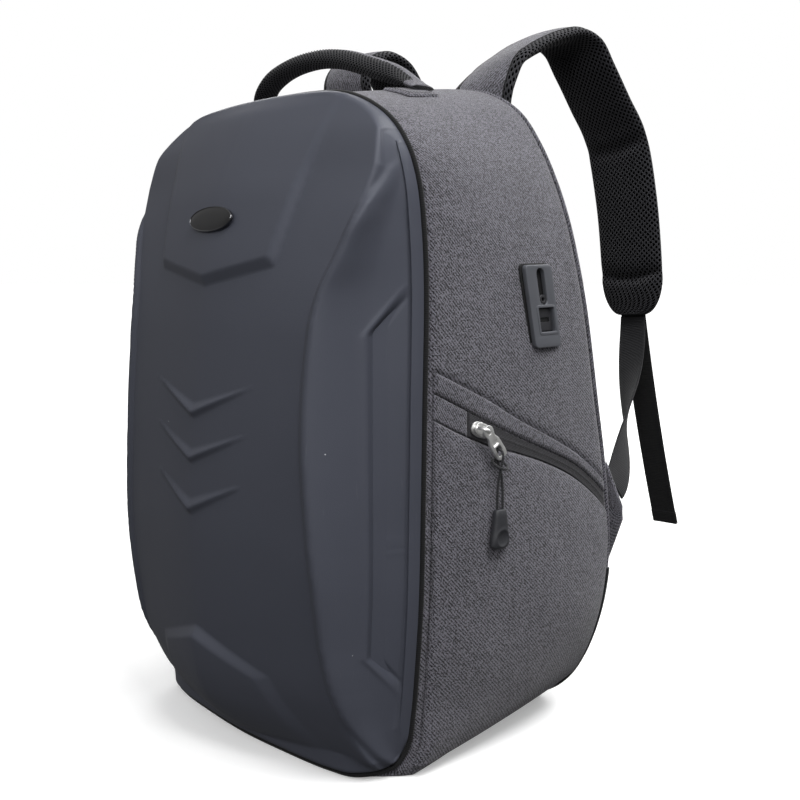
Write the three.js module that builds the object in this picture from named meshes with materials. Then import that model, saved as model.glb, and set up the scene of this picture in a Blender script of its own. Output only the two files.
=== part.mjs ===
// Laptop backpack with a moulded front shell, in millimetres, +Z up.
// The shell faces -Y, the wearer's back is on the +Y side and the bag stands on Z = 0.
import * as THREE from 'three';

// Walls, seams and edges
const SHELL_WALL = 3;
const FABRIC_WALL = 3;
const SHELL_PIPING_RADIUS = 1.7;
const BACK_PIPING_RADIUS = 2.4;
const SEAM_GAP = 0.45;
const LAYER_GAP = 0.4;

// Back panel: it leans forward towards the top
const BACK_TOP_Y = 118;
const BACK_TOP_Z = 478;
const BACK_FOOT_Y = 182;
const BACK_LEAN = 0.207;
const BACK_PAD_FRONT = 4;
const BACK_PAD_REAR = 9;
const BACK_PAD_INSET = 3.8;
const BACK_PAD_ROUNDING = 12;
const BACK_PAD_SIDES = 44;

// Right half of the bag's outline, from the middle of the top to the middle of the base.
// front is the seam round the shell, back is the edge of the back panel as [x, z], swell is how
// far the stuffed fabric bulges, corner is how far it fills out just behind the shell and under
// is how far its edges run below the two seams.
const OUTLINE = [
  { front: [0, -13, 462], back: [0, 478], swell: 1, corner: 0, under: 0 },
  { front: [50, -13, 461], back: [50, 477], swell: 1, corner: 0, under: 0 },
  { front: [85, -12.5, 457.5], back: [89, 470], swell: 1, corner: 0, under: 0 },
  { front: [112, -12, 448], back: [116, 454], swell: 2, corner: 0, under: 0 },
  { front: [131, -10, 435], back: [132, 430], swell: 3, corner: 0, under: 0 },
  { front: [144, -8, 417], back: [143, 402], swell: 4, corner: 0, under: 0 },
  { front: [149.5, -5, 396], back: [149.5, 376], swell: 4, corner: 0, under: 0 },
  { front: [151, -2, 366], back: [153.5, 347], swell: 4, corner: 0, under: 0 },
  { front: [151, 0, 330], back: [156, 315], swell: 4, corner: 0, under: 0 },
  { front: [150, 0, 250], back: [156.5, 250], swell: 4, corner: 0, under: 0 },
  { front: [149, 0, 190], back: [156.5, 195], swell: 4, corner: 0, under: 0 },
  { front: [147.5, 0, 125], back: [157.5, 142], swell: 4, corner: 0, under: 0 },
  { front: [144, 0, 80], back: [154.5, 104], swell: 4, corner: 0, under: 0 },
  { front: [140, 0, 45], back: [147, 74], swell: 3, corner: 1.5, under: 0 },
  { front: [136.5, -2, 22], back: [135.5, 47], swell: 2, corner: 6, under: 0 },
  { front: [130, -9, 8], back: [121.5, 26], swell: 1, corner: 10, under: 0.5 },
  { front: [116, -28, 3.4], back: [104, 11], swell: 0, corner: 0, under: 2.8 },
  { front: [92, -35.5, 2.7], back: [84, 2.7], swell: 0, corner: 0, under: 2.7 },
  { front: [48, -40.5, 2.7], back: [46, 2.7], swell: 0, corner: 0, under: 2.7 },
  { front: [0, -43, 2.7], back: [0, 2.7], swell: 0, corner: 0, under: 2.7 },
];
const LOWEST_SEAM = 2.7;
const CORNER_SHARE = 0.06;
const UNDER_SET_BACK = 0.25;
const LAST_ROW = OUTLINE.length - 1;
const TOP_CORNER_ROW = 5;
const LOW_CORNER_ROW = 14;
const GUSSET_END_ROW = 15;
const GUSSET_TO_BASE_ROWS = 0.02;

// Shell: depth in front of the seam plane along the middle and along the arc steps
const SHELL_SECTIONS = [
  { z: 3, stepX: 133, stepDepth: 17, middle: 44 },
  { z: 18, stepX: 129, stepDepth: 30, middle: 57 },
  { z: 39, stepX: 125, stepDepth: 43, middle: 69 },
  { z: 62, stepX: 123, stepDepth: 53, middle: 76.5 },
  { z: 96, stepX: 120, stepDepth: 60.5, middle: 81 },
  { z: 134, stepX: 119, stepDepth: 65.5, middle: 83.5 },
  { z: 171, stepX: 116, stepDepth: 68, middle: 84 },
  { z: 235, stepX: 111, stepDepth: 68, middle: 80.5 },
  { z: 298, stepX: 112, stepDepth: 63, middle: 74 },
  { z: 326, stepX: 116, stepDepth: 58, middle: 70 },
  { z: 349, stepX: 125, stepDepth: 51.5, middle: 65.5 },
  { z: 377, stepX: 135, stepDepth: 43, middle: 58 },
  { z: 403, stepX: 141, stepDepth: 34, middle: 51 },
  { z: 430, stepX: 141, stepDepth: 27, middle: 42 },
  { z: 448, stepX: 141, stepDepth: 18, middle: 33 },
  { z: 458, stepX: 141, stepDepth: 15, middle: 24 },
];
const SHELL_CROWN_POWER = 1.35;
const SHELL_RIM = 5;
const SHELL_RIM_DEPTH = 9;
const SHELL_FOOT_DEPTH = 4;
const SHELL_FOOT_SHARE = 0.1;
const SHELL_ROWS = 30;
const STEP_MARGIN = 8;
const STEP_RISE = 1.6;
const STEP_HALF_WIDTH = 2;

// Raised panels on the shell
const TOP_PANEL = { tipZ: 330, cornerX: 72, cornerZ: 343, flare: 0.23, rise: 4, bevel: 8 };
const LOW_PANEL = { tipZ: 91, cornerX: 68, cornerZ: 69, flare: 0.45, rise: 4, bevel: 8 };
const BADGE = { z: 375.5, halfWidth: 26.5, halfHeight: 9.2, thickness: 2.2, sides: 28, crown: 0.86 };

// Side pockets: heights of the seams from the shell (s = 0) to the back edge (s = 1)
const POCKET_SEAMS = [
  { s: 0.02, band: 276.5, zip: 262.5, pocket: 245 },
  { s: 0.15, band: 267, zip: 252.5, pocket: 234.5 },
  { s: 0.31, band: 255, zip: 240, pocket: 223.5 },
  { s: 0.46, band: 241.5, zip: 228.5, pocket: 216.5 },
  { s: 0.65, band: 226, zip: 215, pocket: 205 },
  { s: 0.8, band: 212.5, zip: 203, pocket: 192 },
  { s: 0.92, band: 197.5, zip: 188, pocket: 176 },
  { s: 0.985, band: 187, zip: 177, pocket: 164 },
];
const POCKET_END_ROW = 14.6;
const POCKET_BULGE = 8;
const POCKET_GAP = 1.4;
const POCKET_WALL = 2;
const BAND_WALL = 2.4;
const PATCH_WALL = 1.8;
const TAPE_WALL = 1.2;
const ZIP_START_S = 0.195;
const SEAM_CLEARANCE = 0.4;
const PATCH_END_GAP = 0.004;

// Zip slider, pull tab, cord and grip
const SLIDER = { s: 0.25, length: 15, width: 10, height: 4.5 };
const PULL = { length: 27, width: 9.5, thickness: 2, slot: 5, drop: 54, stand: 3 };
const PULL_EDGE = { corner: 3, margin: 2.5, behind: 4 };
const ZIP_SLOPE = -0.42;
const CORD_DIAMETER = 1.9;
const CORD_FALL = 38.5;
const GRIP = { length: 27, topWidth: 11, thickness: 7, out: 1 };

// Port plate on the right side
const PLATE = { s: 0.65, z: 317, width: 26, height: 57, thickness: 4, corner: 3, stand: 1.6 };
const PLATE_TURN = THREE.MathUtils.degToRad(7);
const PLATE_SLANT = 0.18;
const SLOT = { x: 1, top: 26, bottom: 1, width: 7.5 };
const WINDOW = { x: 1.8, y: -9.4, width: 14.7, height: 16.5 };
const BUTTON = { recess: 0.4, foot: 0.2 };
const INSERT = { thickness: 1.2, out: 0.8 };

// Carry handle
const HANDLE = { width: 23, thickness: 14, endWidth: 20, endThickness: 4.5 };
const HANDLE_LEAN = { y: 1, z: 0.2 };
const HANDLE_PATH = [
  { x: 93, y: 50, z: 469.3 }, { x: 75, y: 50.5, z: 475 }, { x: 40, y: 48.5, z: 487.5 },
  { x: 8, y: 47, z: 497 }, { x: -20, y: 44.5, z: 500 }, { x: -52, y: 42, z: 497 },
  { x: -73, y: 41, z: 490 }, { x: -88, y: 43, z: 480.5 }, { x: -95, y: 50, z: 469.3 },
];
const HANDLE_TAB = { width: 26, depth: 30, thickness: 1.8, x: 90, s: 0.4 };
const TOP_WALL_RUN = 140;

// Shoulder straps: middle line of each pad from its root to its lower end, and its sideways roll
const STRAP = { width: 62, thickness: 13, rootThickness: 6, rootWidth: 58, corner: 5 };
const STRAP_ENDS = { rootShare: 0.2, endShare: 0.95, narrowing: 16, thinning: 3 };
const RIGHT_STRAP_PATH = [
  { x: 72, y: 126.8, z: 475.5, roll: -0.26 }, { x: 72, y: 131, z: 483, roll: 0 },
  { x: 72, y: 142, z: 493, roll: 0.18 }, { x: 72, y: 165, z: 507, roll: 0.14 },
  { x: 72.5, y: 188.6, z: 518.5, roll: 0.06 }, { x: 74, y: 209, z: 524.5, roll: 0 },
  { x: 76.5, y: 225.5, z: 519, roll: 0 }, { x: 79, y: 238, z: 502, roll: 0 },
  { x: 82, y: 254, z: 478, roll: 0 }, { x: 87, y: 269, z: 451, roll: 0 },
  { x: 94, y: 276.5, z: 400, roll: 0 }, { x: 98, y: 281, z: 342, roll: 0 },
  { x: 100, y: 282, z: 306, roll: 0 },
];
const LEFT_STRAP_PATH = [
  { x: -72, y: 126.8, z: 475.5, roll: 0.26 }, { x: -74, y: 121, z: 486, roll: 0 },
  { x: -76, y: 117.5, z: 499, roll: 0 }, { x: -76, y: 125, z: 513, roll: 0 },
  { x: -75, y: 143, z: 519.5, roll: 0 }, { x: -75, y: 161, z: 514, roll: 0 },
  { x: -76, y: 176, z: 498, roll: 0 }, { x: -78, y: 189, z: 478, roll: 0 },
  { x: -82, y: 200, z: 450, roll: 0 }, { x: -90, y: 209, z: 400, roll: 0 },
  { x: -96, y: 213, z: 342, roll: 0 }, { x: -99, y: 214, z: 306, roll: 0 },
];
const WEBBING = { width: 25, thickness: 1.7, start: 1.8, leave: 40, arrive: [-3, 16, 6] };
const TAIL = { drop: 186, swing: 41, topInset: 7, lowOffset: 3, start: 1, bow: 0.3 };
const BUCKLE = {
  width: 34, height: 24, thickness: 4, slot: 5, bar: 4, frame: 4, rise: 16, inset: 7, corner: 3,
};

// Sewn wing at each lower back edge: its corners on the right side, and its thickness
const WING_CORNERS = {
  upper: [155, 186.8, 196],
  outer: [165.5, 187.6, 166],
  lower: [166, 187.6, 156],
  foot: [154.5, 186.8, 116],
};
const WING_THICKNESS = 3;
const WEBBING_END_LIFT = { x: -5, y: 3.6, z: -1 };

// Turns a list of rings of points into one closed solid, capped across its first and last ring.
function skin(rings, isLoop = false) {
  const count = rings[0].length;
  const positions = rings.flat().flatMap((point) => point.toArray());
  const faces = [];
  const quad = (a, b, c, d) => faces.push([a, b, c], [a, c, d]);
  const spans = isLoop ? rings.length : rings.length - 1;
  for (let i = 0; i < spans; i += 1) {
    const here = i * count;
    const next = ((i + 1) % rings.length) * count;
    for (let j = 0; j < count; j += 1) {
      const k = (j + 1) % count;
      quad(here + j, here + k, next + k, next + j);
    }
  }
  if (!isLoop) {
    const end = (rings.length - 1) * count;
    for (let j = 0; j < count / 2 - 1; j += 1) {
      quad(count - 1 - j, count - 2 - j, j + 1, j);
      quad(end + j, end + j + 1, end + count - 2 - j, end + count - 1 - j);
    }
  }
  const point = (index) => new THREE.Vector3().fromArray(positions, index * 3);
  const volume = faces.reduce((sum, [a, b, c]) => sum + point(a).dot(point(b).cross(point(c))), 0);
  const index = volume < 0 ? faces.map(([a, b, c]) => [a, c, b]) : faces;
  const geometry = new THREE.BufferGeometry();
  geometry.setAttribute('position', new THREE.Float32BufferAttribute(positions, 3));
  geometry.setIndex(index.flat());
  geometry.computeVertexNormals();
  return geometry;
}

// A sheet between an outer and an inner grid of points.
function sheet(outer, inner) {
  return skin(outer.map((row, i) => [...row, ...[...inner[i]].reverse()]));
}

// The same solid on the other side of the bag.
function mirrored(geometry) {
  const copy = geometry.clone();
  copy.scale(-1, 1, 1);
  const order = copy.index ? [...copy.index.array] : [...Array(copy.attributes.position.count).keys()];
  for (let i = 0; i < order.length; i += 3) {
    [order[i + 1], order[i + 2]] = [order[i + 2], order[i + 1]];
  }
  copy.setIndex(order);
  copy.computeVertexNormals();
  return copy;
}

// Smooth value of one column of a table at a key, by cubic segments between its rows.
function lookup(table, keyName, valueName, key) {
  const keys = table.map((row) => row[keyName]);
  const values = table.map((row) => row[valueName]);
  const last = keys.length - 1;
  const at = THREE.MathUtils.clamp(key, keys[0], keys[last]);
  let i = 0;
  while (i < last - 1 && at > keys[i + 1]) i += 1;
  const slope = (k) => {
    const a = Math.max(k - 1, 0);
    const b = Math.min(k + 1, last);
    return (values[b] - values[a]) / (keys[b] - keys[a]);
  };
  const width = keys[i + 1] - keys[i];
  const t = (at - keys[i]) / width;
  const rise = (3 - 2 * t) * t * t;
  const bend = width * t * (1 - t) * ((1 - t) * slope(i) - t * slope(i + 1));
  return values[i] + (values[i + 1] - values[i]) * rise + bend;
}

// Closed loops through the outline's right half and its mirror image, counted in rows.
function outlineLoop(pointOfRow) {
  const right = OUTLINE.map(pointOfRow);
  const left = right.slice(1, -1).reverse().map((p) => new THREE.Vector3(-p.x, p.y, p.z));
  const curve = new THREE.CatmullRomCurve3([...right, ...left], true);
  const rows = 2 * LAST_ROW;
  return (row) => {
    const point = curve.getPoint(THREE.MathUtils.euclideanModulo(row, rows) / rows);
    point.z = Math.max(point.z, LOWEST_SEAM);
    return point;
  };
}

function backY(z) {
  return Math.min(BACK_FOOT_Y, BACK_TOP_Y + (BACK_TOP_Z - z) * BACK_LEAN);
}

const seamAt = outlineLoop((row) => new THREE.Vector3(...row.front));
const backAt = outlineLoop((row) => new THREE.Vector3(row.back[0], backY(row.back[1]), row.back[1]));

// Value of an outline column between two rows, on either side of the bag.
function outlineValue(name, row) {
  const at = Math.min(Math.abs(row), LAST_ROW);
  const low = Math.min(Math.floor(at), LAST_ROW - 1);
  return THREE.MathUtils.lerp(OUTLINE[low][name], OUTLINE[low + 1][name], at - low);
}

// Direction out of the bag, square to the outline.
function outward(loop, row) {
  const along = loop(row + 0.05).sub(loop(row - 0.05));
  return new THREE.Vector3(-along.z, 0, along.x).normalize();
}

// Direction across the shell's seam, from the shell towards the fabric.
function acrossSeam(row) {
  const along = seamAt(row + 0.05).sub(seamAt(row - 0.05)).normalize();
  return new THREE.Vector3(0, 1, 0).projectOnPlane(along).normalize();
}

// Point on the fabric wall: row round the outline, s from the shell to the back edge.
function wallPoint(row, s, lift = 0) {
  const mirror = row > LAST_ROW ? row - 2 * LAST_ROW : row;
  const under = outlineValue('under', mirror);
  const clear = SHELL_PIPING_RADIUS + SEAM_GAP + UNDER_SET_BACK * under;
  const front = seamAt(row).addScaledVector(acrossSeam(row), clear);
  front.z -= under;
  const back = backAt(row);
  back.y -= BACK_PIPING_RADIUS + SEAM_GAP;
  back.z -= under;
  const out = outward(seamAt, row).lerp(outward(backAt, row), s).normalize();
  const fill = outlineValue('corner', mirror) * (1 - s) * Math.sqrt(Math.min(s / CORNER_SHARE, 1));
  const swell = outlineValue('swell', mirror) * Math.sqrt(Math.sin(Math.PI * s)) + fill;
  const point = front.lerp(back, s);
  point.z = Math.max(point.z, 0);
  const room = out.z < 0 ? point.z / -out.z : swell;
  return point.addScaledVector(out, Math.min(swell, room) + lift);
}

function steps(from, to, count) {
  return Array.from({ length: count + 1 }, (_, i) => from + ((to - from) * i) / count);
}

// Wall of fabric between two outline rows, from the shell to the back edge.
function fabricWall(fromRow, toRow, count) {
  const stations = [0, 0.05, 0.18, 0.5, 0.82, 0.95, 1];
  const grid = (lift) => steps(fromRow, toRow, count).map(
    (row) => stations.map((s) => wallPoint(row, s, lift)),
  );
  return sheet(grid(0), grid(-FABRIC_WALL));
}

// Cord edge that follows a closed loop.
function piping(loop, radius, sides, count) {
  const rows = 2 * LAST_ROW;
  const rings = steps(0, rows, count).slice(0, -1).map((row) => {
    const along = loop(row + 0.05).sub(loop(row - 0.05)).normalize();
    const across = new THREE.Vector3(0, 1, 0).projectOnPlane(along).normalize();
    const up = new THREE.Vector3().crossVectors(along, across);
    return steps(0, 2 * Math.PI, sides).slice(0, -1).map((angle) => loop(row)
      .addScaledVector(across, radius * Math.cos(angle))
      .addScaledVector(up, radius * Math.sin(angle)));
  });
  return skin(rings, true);
}

// Shell outline as a patch: s from the middle to the side seam, v from the base to the top.
function shellPatch(s, v) {
  const top = seamAt(TOP_CORNER_ROW * s);
  const base = seamAt(LAST_ROW - (LAST_ROW - LOW_CORNER_ROW) * s);
  const side = seamAt(THREE.MathUtils.lerp(LOW_CORNER_ROW, TOP_CORNER_ROW, v));
  const corner = seamAt(LOW_CORNER_ROW).lerp(seamAt(TOP_CORNER_ROW), v);
  return base.lerp(top, v).addScaledVector(side.sub(corner), s);
}

function raisedPanel(panel, x, z, isTop) {
  const slope = Math.abs(panel.cornerZ - panel.tipZ) / panel.cornerX;
  const fromTip = isTop ? z - panel.tipZ - slope * x : panel.tipZ - slope * x - z;
  const along = isTop ? z - panel.cornerZ : panel.cornerZ - z;
  const fromSide = panel.cornerX + panel.flare * along - x;
  return panel.rise * THREE.MathUtils.clamp(Math.min(fromTip, fromSide) / panel.bevel, 0, 1);
}

// How far the shell stands out, as its plain form and with its raised panels.
function shellDepth(s, v) {
  const patch = shellPatch(s, v);
  const edgeX = seamAt(THREE.MathUtils.lerp(LOW_CORNER_ROW, TOP_CORNER_ROW, v)).x;
  const section = (name) => lookup(SHELL_SECTIONS, 'z', name, patch.z);
  const stepX = Math.min(section('stepX'), edgeX - STEP_MARGIN);
  const foot = THREE.MathUtils.clamp(v / SHELL_FOOT_SHARE, 0, 1);
  const rimDepth = THREE.MathUtils.lerp(SHELL_FOOT_DEPTH, SHELL_RIM_DEPTH, foot) - patch.y;
  const across = Math.min(patch.x / stepX, 1);
  const face = section('middle') + (section('stepDepth') - section('middle')) * across ** SHELL_CROWN_POWER;
  const flank = THREE.MathUtils.clamp((patch.x - stepX) / (edgeX - SHELL_RIM - stepX), 0, 1);
  const full = Math.max(face + (rimDepth - face) * flank, rimDepth);
  const height = seamAt(0).z;
  const edge = Math.min((1 - s) * edgeX, (1 - v) * height, v * height) / SHELL_RIM;
  const round = Math.sqrt(1 - (1 - THREE.MathUtils.clamp(edge, 0, 1)) ** 2);
  const lip = -patch.y + SHELL_PIPING_RADIUS + SEAM_GAP;
  const plain = lip + (full - lip) * round;
  const onFace = patch.x < stepX ? STEP_RISE : 0;
  const panels = raisedPanel(TOP_PANEL, patch.x, patch.z, true)
    + raisedPanel(LOW_PANEL, patch.x, patch.z, false);
  return { patch, stepX, plain, raised: plain + (onFace + panels) * round };
}

// Share s of the half width where the arc step crosses a row of the shell.
function stepShare(v) {
  let low = 0.4;
  let high = 0.94;
  for (let i = 0; i < 30; i += 1) {
    const middle = (low + high) / 2;
    const { patch, stepX } = shellDepth(middle, v);
    if (patch.x < stepX) low = middle;
    else high = middle;
  }
  return low;
}

function frontShell() {
  const height = seamAt(0).z;
  const rim = SHELL_RIM / height;
  const rows = [0, 0.25 * rim, ...steps(rim, 1 - rim, SHELL_ROWS), 1 - 0.25 * rim, 1];
  const outer = [];
  const plain = [];
  const edges = [];
  for (const v of rows) {
    const edgeX = seamAt(THREE.MathUtils.lerp(LOW_CORNER_ROW, TOP_CORNER_ROW, v)).x;
    const step = stepShare(v);
    const half = STEP_HALF_WIDTH / edgeX;
    const rimShare = 1 - SHELL_RIM / edgeX;
    const lipShare = 1 - (0.25 * SHELL_RIM) / edgeX;
    const face = steps(0, step - half, 6);
    const flank = steps(Math.min(step + half, rimShare - half), rimShare, 3);
    const right = [...face, ...flank, lipShare, 1];
    const shares = [...right.slice(1).reverse().map((s) => -s), ...right];
    const footLift = (LAYER_GAP + SHELL_PIPING_RADIUS) * Math.max(1 - v / (4 * rim), 0);
    const point = (s, name) => {
      const depth = shellDepth(Math.abs(s), v);
      const row = shellEdgeRow(s, v);
      const place = new THREE.Vector3(Math.sign(s) * depth.patch.x, -depth[name], depth.patch.z);
      if (isShellEdge(s, v)) {
        place.copy(seamAt(row)).addScaledVector(acrossSeam(row), -SHELL_PIPING_RADIUS - SEAM_GAP);
      }
      place.z += footLift;
      return place;
    };
    outer.push(shares.map((s) => point(s, 'raised')));
    plain.push(shares.map((s) => point(s, 'plain')));
    edges.push(shares.map((s) => (isShellEdge(s, v) ? shellEdgeRow(s, v) : null)));
  }
  const inner = inset(plain, SHELL_WALL);
  const trimmed = inner.map((line, i) => line.map((point, j) => {
    const row = edges[i][j];
    if (row === null) return point;
    return plain[i][j].clone().addScaledVector(outward(seamAt, row), -SHELL_WALL);
  }));
  return sheet(outer, trimmed);
}

function isShellEdge(s, v) {
  return Math.abs(s) === 1 || v === 0 || v === 1;
}

// Outline row of a point on the shell's edge, below zero on the left side.
function shellEdgeRow(s, v) {
  const side = s < 0 ? -1 : 1;
  if (v === 1) return TOP_CORNER_ROW * s;
  if (v === 0) return side * LAST_ROW - (LAST_ROW - LOW_CORNER_ROW) * s;
  return side * THREE.MathUtils.lerp(LOW_CORNER_ROW, TOP_CORNER_ROW, v);
}

// Grid of points moved inwards, square to the grid.
function inset(grid, distance) {
  const pick = (i, j) => {
    const row = grid[THREE.MathUtils.clamp(i, 0, grid.length - 1)];
    return row[THREE.MathUtils.clamp(j, 0, row.length - 1)];
  };
  return grid.map((row, i) => row.map((point, j) => {
    const up = pick(i + 1, j).clone().sub(pick(i - 1, j));
    const across = pick(i, j + 1).clone().sub(pick(i, j - 1));
    const inwards = up.cross(across).normalize();
    return point.clone().addScaledVector(inwards, distance);
  }));
}

// Oval badge that lies on the top panel.
function badge() {
  const height = seamAt(0).z;
  const v = BADGE.z / height;
  const low = shellDepth(0, v - BADGE.halfHeight / height);
  const high = shellDepth(0, v + BADGE.halfHeight / height);
  const middle = shellDepth(0, v);
  const up = new THREE.Vector3(0, low.raised - high.raised, high.patch.z - low.patch.z).normalize();
  const out = new THREE.Vector3(0, -up.z, up.y);
  const base = new THREE.Vector3(0, -middle.raised, middle.patch.z).addScaledVector(out, LAYER_GAP);
  const ring = (scale, lift) => steps(0, 2 * Math.PI, BADGE.sides).slice(0, -1).map((turn) => {
    const angle = turn + Math.PI / BADGE.sides + Math.PI / 2;
    return base.clone()
      .addScaledVector(new THREE.Vector3(1, 0, 0), scale * BADGE.halfWidth * Math.cos(angle))
      .addScaledVector(up, scale * BADGE.halfHeight * Math.sin(angle))
      .addScaledVector(out, lift);
  });
  return skin([ring(1, 0), ring(1, 0.6 * BADGE.thickness), ring(BADGE.crown, BADGE.thickness)]);
}

// Padded back panel inside its piping.
function backPanel() {
  const ring = (distance, y) => steps(0, 2 * LAST_ROW, BACK_PAD_SIDES).slice(0, -1).map((turn) => {
    const row = turn + LAST_ROW / BACK_PAD_SIDES;
    const point = backAt(row).addScaledVector(outward(backAt, row), -distance);
    point.y = backY(point.z) + y;
    return point;
  });
  return skin([
    ring(BACK_PAD_INSET, -BACK_PAD_FRONT),
    ring(BACK_PAD_INSET, 0.3 * BACK_PAD_REAR),
    ring(BACK_PAD_INSET + 0.3 * BACK_PAD_ROUNDING, 0.75 * BACK_PAD_REAR),
    ring(BACK_PAD_INSET + BACK_PAD_ROUNDING, BACK_PAD_REAR),
  ]);
}

// Outline row at which the right wall reaches a height.
function rowAtHeight(s, z) {
  let low = TOP_CORNER_ROW;
  let high = GUSSET_END_ROW;
  for (let i = 0; i < 30; i += 1) {
    const middle = (low + high) / 2;
    if (wallPoint(middle, s).z > z) low = middle;
    else high = middle;
  }
  return low;
}

// Layer of fabric on the right wall between two seams.
function wallLayer({ shares, topRow, baseRow, across, wall, gap = LAYER_GAP, bulge = 0 }) {
  const first = shares[0];
  const span = shares[shares.length - 1] - first;
  const grid = (lift) => shares.map((s) => {
    const lengthwise = Math.sin((Math.PI * (s - first)) / span);
    return steps(0, 1, across).map((f) => {
      const row = THREE.MathUtils.lerp(topRow(s), baseRow(s), f);
      const fill = bulge * Math.sqrt(Math.max(lengthwise * Math.sin(Math.PI * f), 0));
      return wallPoint(row, s, lift + fill);
    });
  });
  return sheet(grid(gap + wall), grid(gap));
}

function seamRow(name, clearance) {
  return (s) => rowAtHeight(s, lookup(POCKET_SEAMS, 's', name, s) + clearance);
}

const FIRST_S = POCKET_SEAMS[0].s;
const LAST_S = POCKET_SEAMS[POCKET_SEAMS.length - 1].s;

function pocketBand() {
  return wallLayer({
    shares: steps(FIRST_S, LAST_S, 10), topRow: seamRow('band', 0), baseRow: seamRow('zip', SEAM_CLEARANCE),
    across: 1, wall: BAND_WALL,
  });
}

function zipPatch() {
  return wallLayer({
    shares: steps(FIRST_S, ZIP_START_S - PATCH_END_GAP, 3), topRow: seamRow('zip', -SEAM_CLEARANCE),
    baseRow: seamRow('pocket', SEAM_CLEARANCE), across: 1, wall: PATCH_WALL,
  });
}

function zipTape() {
  return wallLayer({
    shares: steps(ZIP_START_S, LAST_S, 8), topRow: seamRow('zip', -SEAM_CLEARANCE),
    baseRow: seamRow('pocket', SEAM_CLEARANCE), across: 1, wall: TAPE_WALL,
  });
}

function pocketPanel() {
  return wallLayer({
    shares: steps(FIRST_S, LAST_S, 9), topRow: seamRow('pocket', -SEAM_CLEARANCE),
    baseRow: () => POCKET_END_ROW, across: 9, wall: POCKET_WALL, gap: POCKET_GAP, bulge: POCKET_BULGE,
  });
}

// Frame on the right wall: x runs backwards, y runs up and z points out of the bag.
function wallFrame(s, z, lift) {
  const row = rowAtHeight(s, z);
  const back = wallPoint(row, s + 0.08).sub(wallPoint(row, s - 0.08)).normalize();
  const rise = wallPoint(row - 0.3, s).sub(wallPoint(row + 0.3, s)).normalize();
  const out = new THREE.Vector3().crossVectors(back, rise).normalize();
  const up = new THREE.Vector3().crossVectors(out, back);
  return new THREE.Matrix4().makeBasis(back, up, out).setPosition(wallPoint(row, s, lift));
}

function roundedRectangle(width, height, corner) {
  const x = width / 2;
  const y = height / 2;
  const shape = new THREE.Shape();
  shape.moveTo(-x + corner, -y);
  shape.lineTo(x - corner, -y);
  shape.quadraticCurveTo(x, -y, x, -y + corner);
  shape.lineTo(x, y - corner);
  shape.quadraticCurveTo(x, y, x - corner, y);
  shape.lineTo(-x + corner, y);
  shape.quadraticCurveTo(-x, y, -x, y - corner);
  shape.lineTo(-x, -y + corner);
  shape.quadraticCurveTo(-x, -y, -x + corner, -y);
  return shape;
}

function boxPath(x, y, width, height) {
  const path = new THREE.Path();
  path.moveTo(x - width / 2, y - height / 2);
  path.lineTo(x - width / 2, y + height / 2);
  path.lineTo(x + width / 2, y + height / 2);
  path.lineTo(x + width / 2, y - height / 2);
  path.closePath();
  return path;
}

function extruded(shape, depth, curveSegments = 3) {
  return new THREE.ExtrudeGeometry(shape, { depth, bevelEnabled: false, curveSegments });
}

// The plate slants with the bag's back edge.
const plateFrame = () => wallFrame(PLATE.s, PLATE.z, PLATE.stand)
  .multiply(new THREE.Matrix4().makeRotationZ(PLATE_TURN))
  .multiply(new THREE.Matrix4().makeShear(0, 0, -PLATE_SLANT, 0, 0, 0));

function portPlate() {
  const shape = roundedRectangle(PLATE.width, PLATE.height, PLATE.corner);
  const slot = new THREE.Path();
  const radius = SLOT.width / 2;
  slot.absarc(SLOT.x, SLOT.top - radius, radius, 0, Math.PI, false);
  slot.absarc(SLOT.x, SLOT.bottom + radius, radius, Math.PI, 2 * Math.PI, false);
  shape.holes.push(slot, boxPath(WINDOW.x, WINDOW.y, WINDOW.width, WINDOW.height));
  return extruded(shape, PLATE.thickness, 8).applyMatrix4(plateFrame());
}

function portButton() {
  const radius = SLOT.width / 2 - SEAM_GAP;
  const cap = new THREE.CylinderGeometry(radius, radius, PLATE.thickness - 2 * BUTTON.recess, 14);
  cap.rotateX(Math.PI / 2);
  cap.translate(SLOT.x, SLOT.bottom + SLOT.width / 2, PLATE.thickness / 2 - BUTTON.foot);
  return cap.applyMatrix4(plateFrame());
}

function portInsert() {
  const width = WINDOW.width - 2 * SEAM_GAP;
  const height = WINDOW.height - 2 * SEAM_GAP;
  const block = new THREE.BoxGeometry(width, height, INSERT.thickness);
  block.translate(WINDOW.x, WINDOW.y, INSERT.out);
  return block.applyMatrix4(plateFrame());
}

// Zip hardware hangs from the front end of the zip, clear of the pocket panel.
function sliderFrame() {
  const zip = lookup(POCKET_SEAMS, 's', 'zip', SLIDER.s);
  const pocket = lookup(POCKET_SEAMS, 's', 'pocket', SLIDER.s);
  return wallFrame(SLIDER.s, (zip + pocket) / 2, LAYER_GAP + TAPE_WALL + LAYER_GAP);
}

function zipSlider() {
  const shape = new THREE.Shape();
  const x = SLIDER.length / 2;
  const y = SLIDER.width / 2;
  shape.moveTo(-x, -0.55 * y);
  shape.lineTo(0.2 * x, -y);
  shape.lineTo(x, -0.7 * y);
  shape.lineTo(x, 0.7 * y);
  shape.lineTo(0.2 * x, y);
  shape.lineTo(-x, 0.55 * y);
  shape.closePath();
  const body = extruded(shape, SLIDER.height);
  body.rotateZ(ZIP_SLOPE);
  return body.applyMatrix4(sliderFrame());
}

// The pull tab lies above the slider and leans down and back.
function pullFrame() {
  const frame = sliderFrame();
  const turn = new THREE.Matrix4().makeRotationZ(-THREE.MathUtils.degToRad(PULL.drop));
  const lift = new THREE.Matrix4().makeTranslation(0, 0, SLIDER.height + LAYER_GAP + PULL.stand);
  return frame.multiply(lift).multiply(turn);
}

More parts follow.
